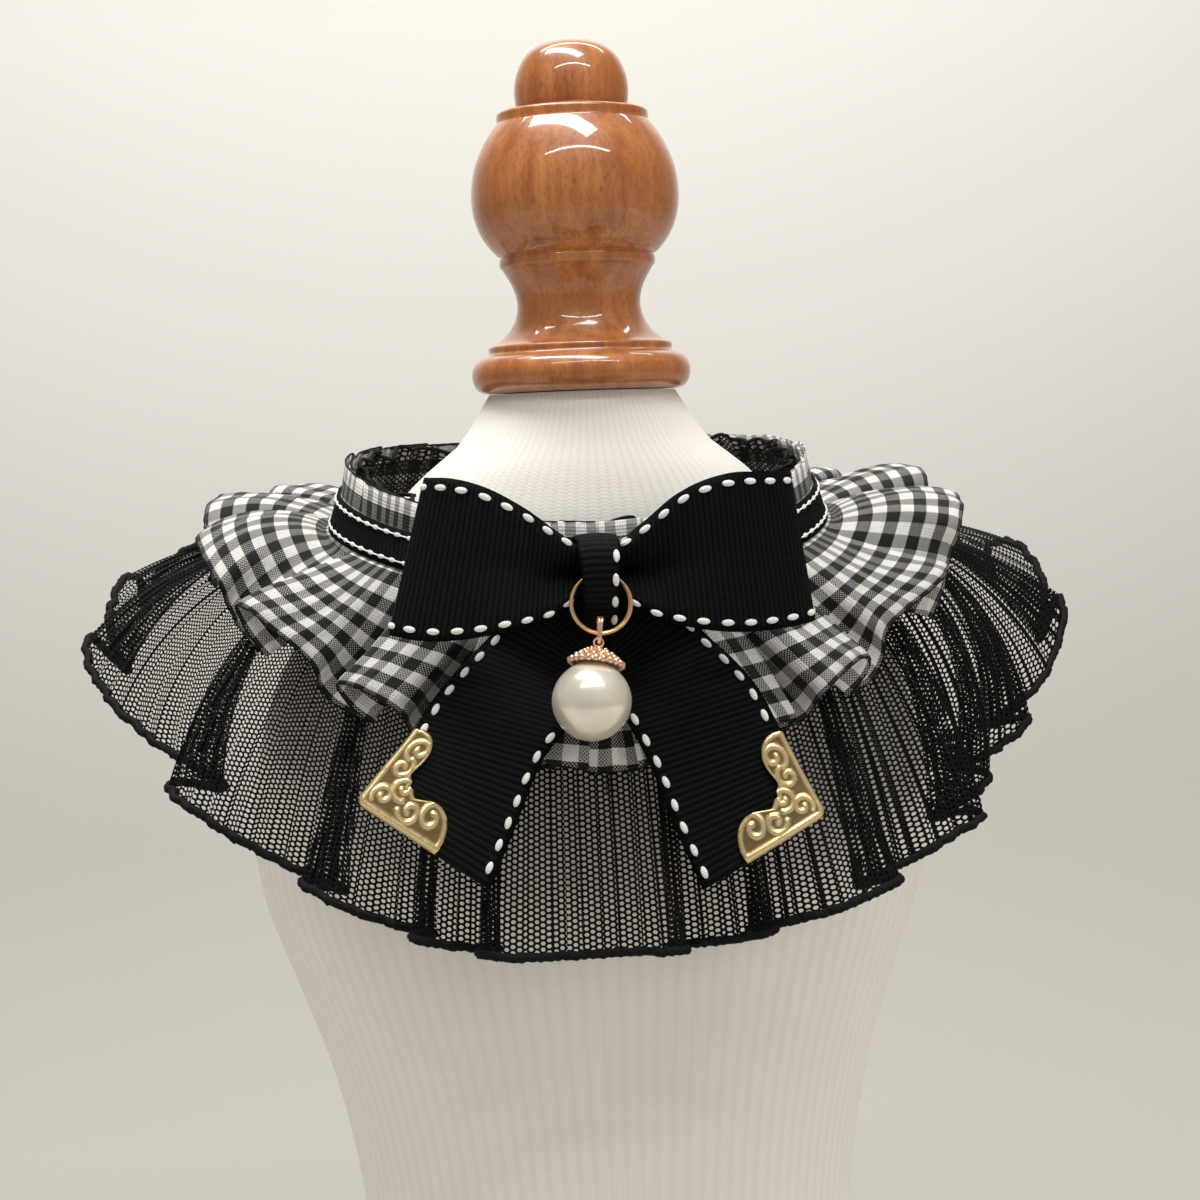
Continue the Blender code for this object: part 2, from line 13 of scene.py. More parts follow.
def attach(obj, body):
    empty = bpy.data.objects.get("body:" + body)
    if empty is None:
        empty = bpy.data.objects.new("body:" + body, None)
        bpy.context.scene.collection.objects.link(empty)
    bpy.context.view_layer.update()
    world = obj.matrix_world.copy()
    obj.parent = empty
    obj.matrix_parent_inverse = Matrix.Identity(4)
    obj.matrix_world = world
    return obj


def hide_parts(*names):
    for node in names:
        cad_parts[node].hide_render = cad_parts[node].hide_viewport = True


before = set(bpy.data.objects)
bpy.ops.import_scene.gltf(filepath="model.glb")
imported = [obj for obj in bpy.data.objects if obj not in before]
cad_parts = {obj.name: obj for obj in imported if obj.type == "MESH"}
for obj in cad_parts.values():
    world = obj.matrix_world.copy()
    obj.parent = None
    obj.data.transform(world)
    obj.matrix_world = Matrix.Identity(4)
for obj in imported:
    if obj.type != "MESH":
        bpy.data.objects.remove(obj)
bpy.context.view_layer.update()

MM = 0.001
ROOT = "collar_on_form"
UP = np.array([0.0, 0.0, 1.0])
FORWARD = np.array([0.0, -1.0, 0.0])
RANDOM = np.random.default_rng(11)

LOOKS = {}              # the materials, by name

# ---------------------------------------------------------------- neck and ruffles
NECK_CENTRE_X = -2.0
NECK_HALF_WIDTH = 67.0
NECK_HALF_DEPTH = 52.0
NECK_HEIGHT = 288.9
NECK_BACK_RISE = 10.25
NECK_SIDE_RISE = 3.1
BAND_WIDTH = 10.0
BAND_LEAN = -73.0
BAND_END = 187.0        # the band's end laps past the centre back
BAND_LAP_FROM = 166.0   # and starts to rise over its other end here
BAND_LAP = 1.4
HEADER_HEIGHT = 8.0
TURN_START = -2.0
TURN_END = 2.0
GINGHAM_HEM = 39.0
NET_HEM = 87.0
GINGHAM_UNDER = -1.3
NET_UNDER = -2.6
BACK_SLIT = 1.0
HEM_RADIUS = 88.0       # mean radius of the ruffles' hems
BAND_RADIUS = 60.0
FOLD_STEPS = 14         # steps between two points of the net's edge
PLEAT_STEPS = 10

# angle round the neck | slope at the band | at the gingham hem | at the net hem | share of width left
DRAPE = np.array((
    (-180, 2, -18, -36, 1.00), (-150, 4, -14, -30, 1.00), (-120, 5, -15, -33, 0.96),
    (-105, 6, -26, -58, 0.90), (-92, -5, -43, -81, 0.84), (-80, -20, -56, -92, 0.83),
    (-68, -37, -59, -81, 0.86), (-57, -66, -74, -80, 0.92), (-45, -74, -78, -82, 0.97),
    (-30, -73, -79, -85, 1.00), (0, -70, -78, -86, 1.00), (30, -73, -79, -85, 1.00),
    (45, -77, -78, -80, 1.00), (57, -70, -75, -82, 0.98), (68, -57, -71, -86, 0.96),
    (80, -24, -64, -104, 0.98), (92, -3, -53, -100, 0.99), (98, -2, -38, -74, 1.00),
    (105, 0, -21, -42, 1.00), (120, 2, -14, -30, 1.00), (150, 4, -14, -30, 1.00),
    (180, 2, -18, -36, 1.00)), float)

# overlapping edges of the folds, front to back: angle | lift at the hem | overlap
NET_FOLDS_LEFT = (
    (24, 12, 2.2), (36, 11, 1.2), (56, 12, 3.0), (77, 14, 3.2), (105, 14, 3.2), (120, 11, 2.0),
    (134, 13, 2.6), (147, 11, 2.0), (160, 12, 2.6), (172, 10, 1.5),
)
NET_FOLDS_RIGHT = (
    (10, 11, 1.6), (27, 9, 2.0), (53, 12, 2.6), (75, 13, 3.0), (84, 10, 1.0), (94, 12, 1.6),
    (104, 11, 2.0), (117, 11, 2.2), (130, 13, 2.4), (143, 11, 2.0), (158, 12, 2.4), (172, 10, 1.5),
)
# knife pleats, front to back: fold at the band | at the hem | lift at the hem | overlap there | upright
GINGHAM_PLEATS_LEFT = (
    (9, 14, 3, 3.5, 0.1), (21, 34, 7, 5, 0.35), (40, 54.5, 12, 5.5, 0.55), (66, 74, 13, 5.5, 0.55),
    (106, 97, 14, 6, 0.5), (124, 120, 11, 5, 0.5), (142, 142, 10, 5, 0.3), (162, 163, 8, 4.5, 0.3),
)
GINGHAM_PLEATS_RIGHT = (
    (10, 15, 3, 3.5, 0.1), (24, 38.5, 6, 4.5, 0.3), (42, 60, 12, 5, 0.7), (71, 84, 13, 5.5, 0.6),
    (98, 104, 17, 5.5, 0.5), (119, 123, 13, 5, 0.45), (141, 145, 10, 5, 0.3), (162, 165, 8, 4.5, 0.3),
)
# cross-section of a pleat's face, from under the pleat in front to its fold: share of its width | rise
# and of the cloth that returns under the fold: share of the overlap | rise
PLEAT_FACES = (
    np.array(((0.0, 0.0), (0.14, -0.02), (0.30, 0.00), (0.37, 0.10), (0.39, 0.36), (0.36, 0.62),
              (0.36, 0.86), (0.44, 1.04), (0.60, 1.08), (0.78, 1.0), (0.93, 0.80), (1.0, 0.60))),
    np.array(((0.0, 0.0), (0.14, -0.02), (0.27, 0.00), (0.33, 0.12), (0.33, 0.40), (0.29, 0.66),
              (0.28, 0.90), (0.36, 1.05), (0.54, 1.06), (0.74, 0.93), (0.92, 0.70), (1.0, 0.54))),
)
PLEAT_RETURN = np.array(((0.10, 0.34), (0.45, 0.12), (1.0, 0.0)))
COLUMNS_CLOSE = 0.65    # the checks near a fold keep this share of their width at the band
TUCK_SLACK = 1.1        # cloth kept for the next pleat, to what it measures at the hem
TUCK_LEAST = 2.0
TUCK_MOST = 1.04        # the deepest tuck, to the step along the band
LAST_PLEAT = (20.0, 10.0)   # what follows the last pleat: degrees at the hem, step at the band
GINGHAM_GIRTH_AT = 37.0     # its length round is measured this far down
GINGHAM_COLUMNS = 1000
GINGHAM_WALL = 0.4
GINGHAM_RIM = 0.27
CHECK = 7.8             # two stripes of the gingham
GINGHAM_THREAD = 0.45
HEM_ROW_SHIFT = GINGHAM_HEM - 0.6   # a row of checks ends at the hem

# net: hexagonal holes
HOLE_PITCH_ROUND = 1.44
HOLE_PITCH_DOWN = 1.40
HOLE_SHARE = 0.62
TINY_PLEAT_DEPTH = 0.38
TINY_PLEAT_FACE = (2.8, 6.6)
TINY_PLEAT_BACK = (0.15, 1.1)
NET_FLARE_FROM = 24.0   # below this the folds stand out
NET_GIRTH_AT = 70.0     # its length round is measured this far down
NET_FACE = ((0.33, 0.50), (0.68, 0.90), (0.91, 1.0), (1.0, 0.84))
NET_RETURN = ((0.45, 0.42), (1.0, 0.0))
NET_LENGTHS = 4         # pieces that the net is divided into, round the neck
NET_RIM = 1.16          # radius of the overlocked hem
NET_RIM_SIDES = 9
HEADER_GATHER = 1.25    # length of net to length of neck, in the header
HEADER_GIRTH_AT = -16.0
HEADER_CURL_FROM = -11.0
HEADER_RIM = 0.55
HEXAGON = np.array(((4, 0), (2, 3), (-2, 3), (-4, 0), (-2, -3), (2, -3))) / 6

# ---------------------------------------------------------------- bow
KNOT_X = -4.6
KNOT_PROFILE = (
    (-71.5, 288.6), (-73.8, 285.6), (-74.4, 281.5), (-73.6, 277.0), (-71.2, 272.8), (-68.0, 269.0),
    (-64.4, 266.2), (-60.4, 264.8), (-56.6, 265.8), (-54.2, 269.0), (-53.3, 274.0), (-53.3, 284.0),
    (-54.4, 287.4), (-57.4, 289.2), (-62.6, 289.9), (-67.6, 289.8),
)
KNOT_WIDTH = 9.0
KNOT_RIBBON = 10.0
KNOT_MIDDLE = np.array((KNOT_X, -64.0, 277.0))
KNOT_STITCH_COLUMN = 9
KNOT_STITCHED = (268.0, 287.5)      # heights between which its front is stitched
# distance from the knot at mid height | depth y | top z | bottom z
LOOP_LEFT = (
    (0.4, -68.4, 287.2, 275.6), (5, -68.9, 287.9, 274.9), (11, -71.2, 291.4, 271.2),
    (20, -75.0, 297.6, 268.9), (30, -74.6, 302.8, 267.0), (39, -72.0, 305.2, 266.9),
    (43.7, -68.8, 305.4, 267.8), (45.4, -65.6, 305.4, 268.2), (44, -62.6, 305.0, 268.4),
    (39, -61.0, 304.4, 268.2), (30, -61.4, 301.8, 268.4), (20, -62.4, 297.0, 269.8),
    (11, -64.0, 291.2, 271.6), (5, -65.5, 287.9, 274.9), (0.4, -66.0, 287.2, 275.6),
)
LOOP_RIGHT = (
    (0.4, -68.4, 287.2, 275.6), (5, -68.9, 287.9, 274.9), (12, -71.4, 292.6, 270.4),
    (22, -75.0, 300.6, 267.2), (33, -74.8, 304.0, 265.8), (43, -72.0, 304.0, 266.2),
    (48.8, -68.6, 303.8, 267.0), (50.6, -65.4, 303.6, 267.4), (49.2, -62.4, 303.4, 267.6),
    (43, -60.8, 303.2, 267.4), (33, -61.2, 302.4, 267.2), (22, -62.2, 299.4, 268.8),
    (12, -63.9, 292.2, 271.2), (5, -65.5, 287.9, 274.9), (0.4, -66.0, 287.2, 275.6),
)
LOOP_SLANT = {"left": 0.22, "right": 0.10}
# outer edge x, z | inner edge x, z | depth y
TAIL_LEFT = (
    (-5.0, 285.0, -5.0, 269.4, -61.6), (-9.4, 284.4, -9.4, 267.6, -61.4),
    (-15.0, 281.0, -5.6, 263.0, -59.8), (-23.0, 274.0, -3.6, 257.6, -59.0),
    (-31.5, 265.6, -5.6, 252.6, -60.6), (-39.4, 258.6, -9.8, 247.9, -65.2),
    (-45.6, 252.2, -15.2, 242.2, -68.6), (-50.6, 245.2, -20.8, 235.0, -70.8),
    (-57.6, 238.0, -27.0, 222.0, -74.4), (-65.0, 230.2, -34.2, 207.6, -79.0),
)
TAIL_RIGHT = (
    (-4.2, 285.0, -4.2, 269.4, -61.6), (0.4, 284.4, 0.6, 267.6, -61.4),
    (6.0, 281.0, -2.6, 263.0, -60.8), (14.0, 274.0, -4.6, 258.0, -60.2),
    (22.0, 264.8, -3.8, 253.6, -61.4), (28.6, 258.0, -1.2, 249.4, -65.4),
    (33.8, 251.0, 2.0, 243.0, -68.6), (38.0, 241.8, 6.6, 233.0, -70.8),
    (42.6, 231.6, 11.2, 219.2, -74.4), (47.4, 221.4, 16.8, 204.6, -79.0),
)
TAIL_BULGE = 0.6
RIBBON_WIDTH = 38.0
RIBBON = 0.6            # thickness of the grosgrain
RIB_PITCH = 1.35
TAIL_RIB_PITCH = RIB_PITCH * 1.12
KNOT_RIB_PITCH = 1.6
RIB_DEPTH = 0.16
RIB_SAMPLES = 5

# saddle stitches
STITCH_IN = 2.3         # how far inside the ribbon's edge they run
STITCH_LIFT = 0.36      # their foot above the ribbon's middle layer
STITCH_PITCH = 5.8
STITCH_SIZE = (3.2, 1.6, 0.75)
BAND_STITCH_LIFT = 0.42
BAND_STITCH_PITCH = 4.0
BAND_STITCH_SIZE = (2.3, 1.15, 0.45)
BAND_THREAD = 0.2       # radius of the thread between the band's stitches
STITCH_SIDES = 12
STITCH_RINGS = np.array(((1.0, 0.0), (0.96, 0.34), (0.78, 0.68), (0.42, 0.93)))  # width, height

# corner plates: angle from the side edge | reach of the scalloped inner edge
PLATE_EDGE = ((0, 22.4), (6, 23.0), (13, 22.6), (18, 21.6), (24, 19.6), (28, 16.8), (30, 13.6),
              (35, 13.0), (41, 12.9), (45, 12.1), (49, 12.9), (55, 13.0), (60, 13.6), (62, 16.8),
              (66, 19.6), (72, 21.6), (77, 22.6), (84, 23.0), (90, 22.4))
# embossed scrolls: centre along, centre across | outer radius | start angle | turn
PLATE_SCROLLS = ((17.3, 5.2, 3.4, 200, 430), (11.9, 4.1, 2.8, 20, 400), (7.8, 7.7, 3.0, 150, 430),
                 (5.2, 17.3, 3.4, 70, -430), (4.1, 11.9, 2.8, 250, -400), (4.3, 4.3, 2.7, 225, 380))
PLATE_CORNER = 1.9      # radius of the rounded outer corner
PLATE_WALL = 0.35
PLATE_LIFT = 0.95       # above the ribbon's middle layer
PLATE_RELIEF = 0.55
PLATE_FALL = 0.9        # the rim bends down this far
SCROLL_STEPS = 60

# ---------------------------------------------------------------- pearl drop
RING_RADIUS = 7.15
RING_TOP = np.array((KNOT_X, -71.5, 281.1))
RING_TILT = np.radians(10.0)
RING_SIDE = np.array((1.0, 0.0, 0.0))
RING_DOWN = np.array((0.0, -np.sin(RING_TILT), -np.cos(RING_TILT)))
RING_FRONT = np.array((0.0, -np.cos(RING_TILT), np.sin(RING_TILT)))
RING_CENTRE = RING_TOP + RING_DOWN * RING_RADIUS
RING_WIRE = 0.42
RING_SHIFT = 0.40       # the two turns lie this far to the front and back
BAIL_SIDE = np.radians(6.0)
BAIL_DOWN = RING_DOWN * np.cos(BAIL_SIDE) - RING_SIDE * np.sin(BAIL_SIDE)
BAIL_ROUND = 1.6
BAIL_TOP = 5.15
BAIL_FOOT = 7.9
BAIL_WIRE = 0.40
BAIL_APART = 0.38
EYE_RADIUS = 1.1
EYE_WIRE = 0.28
PEARL_RADIUS = 9.5
PEARL_DROP = 14.3
DROP_DIRECTION = np.array((-0.178, -0.286, -0.942))
# bead cap, above the pearl's centre: radius | height
CAP_SHELL = ((0.0, 13.2), (1.2, 13.1), (2.1, 12.3), (3.5, 11.3), (4.9, 10.3), (6.1, 9.2),
             (6.0, 8.8), (4.9, 9.4), (3.0, 10.0), (0.0, 10.2))
# rows of grains: how many | radius of the row | height | size of a grain
CAP_GRAINS = ((22, 6.3, 9.35, 0.84), (17, 5.05, 10.5, 0.74), (12, 3.75, 11.5, 0.64),
              (8, 2.4, 12.4, 0.54))
CAP_WIRES = 12
CAP_WIRE = 0.24

# ---------------------------------------------------------------- dress form
# height | half width | half depth | middle y
FORM = np.array((
    (0, 86, 53, 0), (2, 88, 55, 0), (15, 87, 54, 0), (50, 80, 49, 0), (95, 67, 43, 1),
    (108, 67, 43, 1), (125, 69.5, 44, 2), (146, 74.5, 46, 3.5), (170, 83, 49, 5.5),
    (193, 91, 50.5, 7), (215, 93, 50, 7.5),
    (232, 90.5, 48.5, 7.5), (250, 85, 45.5, 6.5), (264, 77.5, 42.5, 5), (276, 69, 39.5, 3.5),
    (286, 61, 37, 2), (294, 54, 34.5, 1), (301, 47.5, 32, 0.5), (307, 41, 30, 0), (312, 34.5, 28, 0),
    (318, 30, 26.5, 0), (325.9, 25, 24.5, 0)), float)
FORM_TOP = FORM[-1, 0]
CAP_BOTTOM = 326.2
# radius | height above the cap's foot
NECK_CAP = ((0, 93), (3.5, 92.9), (6.6, 92.4), (9.4, 91.3), (11.7, 89.5), (13.5, 86.9), (14.8, 83.4),
            (15.3, 80), (15.1, 76.8), (14.8, 75.2), (15.3, 74.9), (19.0, 74.4), (20.1, 73.8),
            (20.3, 73.0), (20.4, 71.4), (21.0, 70.6), (23.0, 67.9), (25.2, 63.9), (27.0, 59.0),
            (27.8, 53.6), (27.6, 48.4), (26.3, 43.6), (24.2, 39.8), (21.6, 36.8), (20.6, 36.2),
            (20.9, 35.4), (20.8, 33.6), (20.2, 32.8), (19.2, 31.2), (17.6, 28.2), (16.6, 24.6),
            (16.8, 21.2), (18.0, 18.0), (20.0, 15.4), (22.6, 13.2), (24.4, 12.4), (24.7, 11.6),
            (24.6, 10.8), (25.2, 10.1), (26.4, 9.6), (28.0, 8.6), (29.2, 6.6), (29.4, 4.4),
            (28.8, 2.2), (27.6, 0.7), (26.0, 0.0), (0, 0))
WALES = 108             # ridges of the knit cover, counted round the form

# ---------------------------------------------------------------- stage
SWEEP_FRONT, SWEEP_BEND, SWEEP_RADIUS, SWEEP_TOP, SWEEP_SIDE = -3000, 1200, 900, 4500, 4000
CAMERA_PLACE = (-0.0621, -0.6179, 0.3130)
CAMERA_LENS = 69.0
CAMERA_YAW, CAMERA_PITCH, CAMERA_ROLL = np.radians((6.0, -3.979, 2.06))
# name | place | aim | width and height | watts | colour | seen in glossy surfaces
MIDDLE = (0.0, 0.0, 0.30)
WARM = (1.0, 0.97, 0.93)
LIGHTS = (
    ("key", (-0.12, -0.14, 1.38), MIDDLE, (1.1, 0.30), 16.0, (1.0, 0.985, 0.96), True),
    ("fill", (0.5, -1.0, 0.5), MIDDLE, (0.8, 0.6), 2.0, WARM, False),
    ("side_left", (-1.0, -0.40, 0.15), MIDDLE, (0.7, 0.5), 3.9, WARM, False),
    ("side_right", (1.0, -0.40, 0.15), MIDDLE, (0.7, 0.5), 3.9, WARM, False),
    ("strip", (0.0, -0.55, 1.0), MIDDLE, (1.0, 0.03), 2.2, (1.0, 1.0, 1.0), True),
    ("backdrop_light", (0.2, 0.9, 2.2), (0.2, 2.1, 1.0), (2.5, 0.6), 50.0, (1.0, 0.99, 0.96), True),
)


# ---------------------------------------------------------------- curves and surfaces
def xyz(x, y, z):
    """Points from three coordinates, each a number or a grid."""
    return np.stack(np.broadcast_arrays(x, y, z), -1)


def unit(v):
    return v / np.linalg.norm(v, axis=-1, keepdims=True)


def facing(normals, way):
    """Normals turned to the side that a direction points to."""
    return normals * np.sign(np.sum(normals * way, -1, keepdims=True))


def ease(t):
    t = np.clip(t, 0.0, 1.0)
    return t * t * (3 - 2 * t)


def bell(t):
    return np.exp(-t**2)


def smooth_between(x, xs, ys):
    """Cubic curve through a table, with the slope at each row taken from its neighbours."""
    xs = np.asarray(xs, float)
    ys = np.asarray(ys, float)
    slopes = np.gradient(ys, xs)
    i = np.clip(np.searchsorted(xs, x, side="right") - 1, 0, len(xs) - 2)
    step = xs[i + 1] - xs[i]
    t = (x - xs[i]) / step
    return ((2 * t**3 - 3 * t**2 + 1) * ys[i] + (t**3 - 2 * t**2 + t) * step * slopes[i]
            + (3 * t**2 - 2 * t**3) * ys[i + 1] + (t**3 - t**2) * step * slopes[i + 1])


def running_length(points):
    """Distance along a row of points, from its first one."""
    steps = np.linalg.norm(np.diff(points, axis=0), axis=-1)
    return np.concatenate([[0.0], np.cumsum(steps)])


def at_lengths(at, places, rows):
    """Points of a row at given distances along it."""
    return np.stack([np.interp(at, places, column) for column in rows.T], -1)


def through(points, steps):
    """Smooth curve through points, with this many steps between each two."""
    p = np.asarray(points, float)
    p = np.vstack([2 * p[0] - p[1], p, 2 * p[-1] - p[-2]])
    t = (np.arange(steps) / steps)[None, :, None]
    a, b, c, d = (p[i:len(p) - 3 + i, None, :] for i in range(4))
    curve = 0.5 * (2 * b + (c - a) * t + (2 * a - 5 * b + 4 * c - d) * t**2
                   + (3 * b - a - 3 * c + d) * t**3)
    return np.vstack([curve.reshape(-1, p.shape[1]), p[-2:-1]])


def neck_line(angle):
    a = np.radians(angle)
    point = xyz(NECK_CENTRE_X + NECK_HALF_WIDTH * np.sin(a), -NECK_HALF_DEPTH * np.cos(a),
                NECK_HEIGHT - NECK_BACK_RISE * np.cos(a) - NECK_SIDE_RISE * np.cos(2 * a))
    return point, unit(xyz(np.sin(a) / NECK_HALF_WIDTH, -np.cos(a) / NECK_HALF_DEPTH, 0.0))


def drape_point(angle, down, lift):
    """A point of the collar: round the neck, down the drape, and lifted square to the drape.

    The slope changes evenly between one knot and the next, so each stretch is an arc of a circle.
    """
    angle, down, lift = (np.array(v, float) for v in np.broadcast_arrays(angle, down, lift))
    slopes = [np.full_like(angle, BAND_LEAN)]
    slopes += [smooth_between(angle, DRAPE[:, 0], DRAPE[:, i]) for i in (1, 2, 3)]
    slopes = np.radians(slopes)
    share = smooth_between(angle, DRAPE[:, 0], DRAPE[:, 4])
    knots = (TURN_START, TURN_END, GINGHAM_HEM, NET_HEM)
    slope = slopes[0]
    above = np.minimum(down - TURN_START, 0.0)
    out = above * np.cos(slope)
    up = above * np.sin(slope)
    for start, end, first, last in zip(knots, knots[1:], slopes, slopes[1:]):
        reach = end if end < NET_HEM else end + 3.0
        run = np.clip(down - start, 0.0, reach - start)
        here = first + (last - first) * run / (end - start)
        chord = run * share * np.sinc((here - first) / (2 * np.pi))
        out = out + chord * np.cos((first + here) / 2)
        up = up + chord * np.sin((first + here) / 2)
        slope = np.where(down > start, here, slope)
    point, level = neck_line(angle)
    out = out - lift * np.sin(slope)
    up = up + lift * np.cos(slope)
    return point + level * out[..., None] + UP * up[..., None]


def half_section(folds, returns, start):
    """Angle and lift along half of a folded edge, from the centre front to the centre back.

    Each fold is (edge, lift, overlap, face): the cloth climbs out from under the fold in front, rolls
    over at its edge and returns under itself. A face is rows of share of the width and rise.
    """
    path = [(0.0, start)]
    valley = 0.0
    for edge, lift, overlap, face in folds:
        path += [(valley + share * (edge - valley), rise * lift) for share, rise in face]
        path += [(edge - share * overlap, rise * lift) for share, rise in returns]
        valley = edge - overlap
    return path + [((valley + 180 - BACK_SLIT) / 2, 0.3 * lift), (180 - BACK_SLIT, 0.15 * lift)]


def both_halves(left, right, steps):
    """Smooth edge from the centre back round the front to the centre back."""
    left = [(-angle, lift) for angle, lift in left]
    return through(left[::-1] + right[1:], steps)


# ---------------------------------------------------------------- making pieces
def new_mesh(name, points, quads, triangles=np.zeros((0, 3), int)):
    """Mesh from points in millimetres."""
    mesh = bpy.data.meshes.new(name)
    mesh.vertices.add(len(points))
    mesh.vertices.foreach_set("co", (np.asarray(points, float) * MM).astype(np.float32).ravel())
    corners = np.concatenate([quads.ravel(), triangles.ravel()])
    starts = np.concatenate([np.arange(len(quads)) * 4,
                             len(quads) * 4 + np.arange(len(triangles)) * 3])
    mesh.loops.add(len(corners))
    mesh.loops.foreach_set("vertex_index", corners.astype(np.int32))
    mesh.polygons.add(len(starts))
    mesh.polygons.foreach_set("loop_start", starts.astype(np.int32))
    mesh.update(calc_edges=True)
    mesh.validate()
    mesh.shade_smooth()
    return mesh


def note(mesh, name, values):
    """Stores a value or a vector for each point, for the material to read."""
    values = np.asarray(values, np.float32)
    kind, key = ("FLOAT_VECTOR", "vector") if values.ndim == 2 else ("FLOAT", "value")
    mesh.attributes.new(name, kind, "POINT").data.foreach_set(key, values.ravel())


def place(mesh, look, body=ROOT, replaces=None):
    """Makes a mesh a piece of the part, under the mesh's own name."""
    made = bpy.data.objects.new(mesh.name, mesh)
    mesh.materials.append(LOOKS[look])
    bpy.context.scene.collection.objects.link(made)
    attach(made, body)
    if replaces:
        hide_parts(replaces)
    return made


def wall(made, thickness):
    """Thickens a surface to both sides."""
    mod = made.modifiers.new("wall", "SOLIDIFY")
    mod.thickness = thickness * MM
    mod.offset = 0.0
    return made


def grid_quads(count, width, closed=False, across_closed=False):
    i = np.arange(count if closed else count - 1)[:, None]
    j = np.arange(width if across_closed else width - 1)[None, :]
    k = (i + 1) % count
    m = (j + 1) % width
    return np.stack(np.broadcast_arrays(i * width + j, i * width + m, k * width + m, k * width + j),
                    -1).reshape(-1, 4)


def grid_mesh(name, rows, closed=False):
    return new_mesh(name, rows.reshape(-1, 3), grid_quads(*rows.shape[:2], closed))


def grid_normals(rows):
    """Unit normals of a grid of points."""
    return unit(np.cross(np.gradient(rows, axis=0), np.gradient(rows, axis=1)))


def twisted(depth, pitch):
    """Winding of an overlocked edge, as a bump for a tube."""
    return lambda along, turn: depth * np.sin(2 * np.pi * along / pitch + turn)


def fan(ring, tip):
    """Triangles from a closed ring of points to one more point."""
    return np.stack([ring, np.roll(ring, -1), np.full_like(ring, tip)], -1)


def copied(faces, points, copies):
    """The faces of one shape, for several copies whose points follow one another."""
    return (faces + points * np.arange(copies)[:, None, None]).reshape(-1, faces.shape[1])


def tube(points, radius, sides, closed, reference, bump):
    """Grid of points round a path. bump adds to the radius: function of place along and of turn."""
    if closed:
        ahead = unit(np.roll(points, -1, 0) - np.roll(points, 1, 0))
    else:
        ahead = unit(np.gradient(points, axis=0))
    if reference is None:
        reference = np.tile(UP, (len(points), 1))
        reference[np.abs(ahead @ UP) > 0.9] = (0.0, 1.0, 0.0)
    across = unit(np.cross(ahead, reference))
    away = np.cross(across, ahead)
    turn = np.linspace(0, 2 * np.pi, sides, endpoint=False)
    size = np.broadcast_to(radius, (len(points),))[:, None] + 0 * turn
    if bump is not None:
        size = size + bump(running_length(points)[:, None], turn)
    ring = across[:, None] * np.cos(turn)[:, None] + away[:, None] * np.sin(turn)[:, None]
    return points[:, None, :] + ring * size[..., None]


def tube_mesh(name, paths, radius, sides, closed=False, reference=None, bump=None):
    """One mesh of several tubes; open ones are capped."""
    points, quads, triangles, start = [], [], [np.zeros((0, 3), int)], 0
    for path in paths:
        rows = tube(path, radius, sides, closed, reference, bump)
        count = len(rows)
        quads.append(grid_quads(count, sides, closed, True) + start)
        points.append(rows.reshape(-1, 3))
        tips = start + count * sides
        if not closed:
            points.append(np.array([rows[0].mean(0), rows[-1].mean(0)]))
            triangles.append(fan(start + np.arange(sides), tips)[:, ::-1])
            triangles.append(fan(tips - sides + np.arange(sides), tips + 1))
        start = tips + (0 if closed else 2)
    return new_mesh(name, np.vstack(points), np.vstack(quads), np.vstack(triangles))


def turned(profile, sides):
    """Solid of revolution about Z from (radius, height) rows whose ends lie on the axis."""
    profile = np.asarray(profile, float)
    turn = np.linspace(0, 2 * np.pi, sides, endpoint=False)
    radius, height = profile[1:-1, :1], profile[1:-1, 1:]
    rows = xyz(radius * np.cos(turn), radius * np.sin(turn), height)
    points = np.vstack([rows.reshape(-1, 3), [(0, 0, profile[0, 1]), (0, 0, profile[-1, 1])]])
    tips = rows.shape[0] * sides
    j = np.arange(sides)
    caps = np.vstack([fan(j, tips), fan(tips - sides + j, tips + 1)[:, ::-1]])
    return points, grid_quads(rows.shape[0], sides, False, True)[:, ::-1], caps


def ball_profile(radius, steps):
    t = np.linspace(0, np.pi, steps)
    return radius * np.stack([np.sin(t), np.cos(t)], -1)


# ---------------------------------------------------------------- materials
class Value:
    """A number or colour worked out by a material's nodes."""

    def __init__(self, look, socket):
        self.look = look
        self.socket = socket

    def __add__(self, other):
        return self.look.math("ADD", self, other)

    def __mul__(self, other):
        return self.look.math("MULTIPLY", self, other)

    def __sub__(self, other):
        return self.look.math("SUBTRACT", self, other)

    def __rsub__(self, other):
        return self.look.math("SUBTRACT", other, self)

    def __gt__(self, other):
        return self.look.math("GREATER_THAN", self, other)


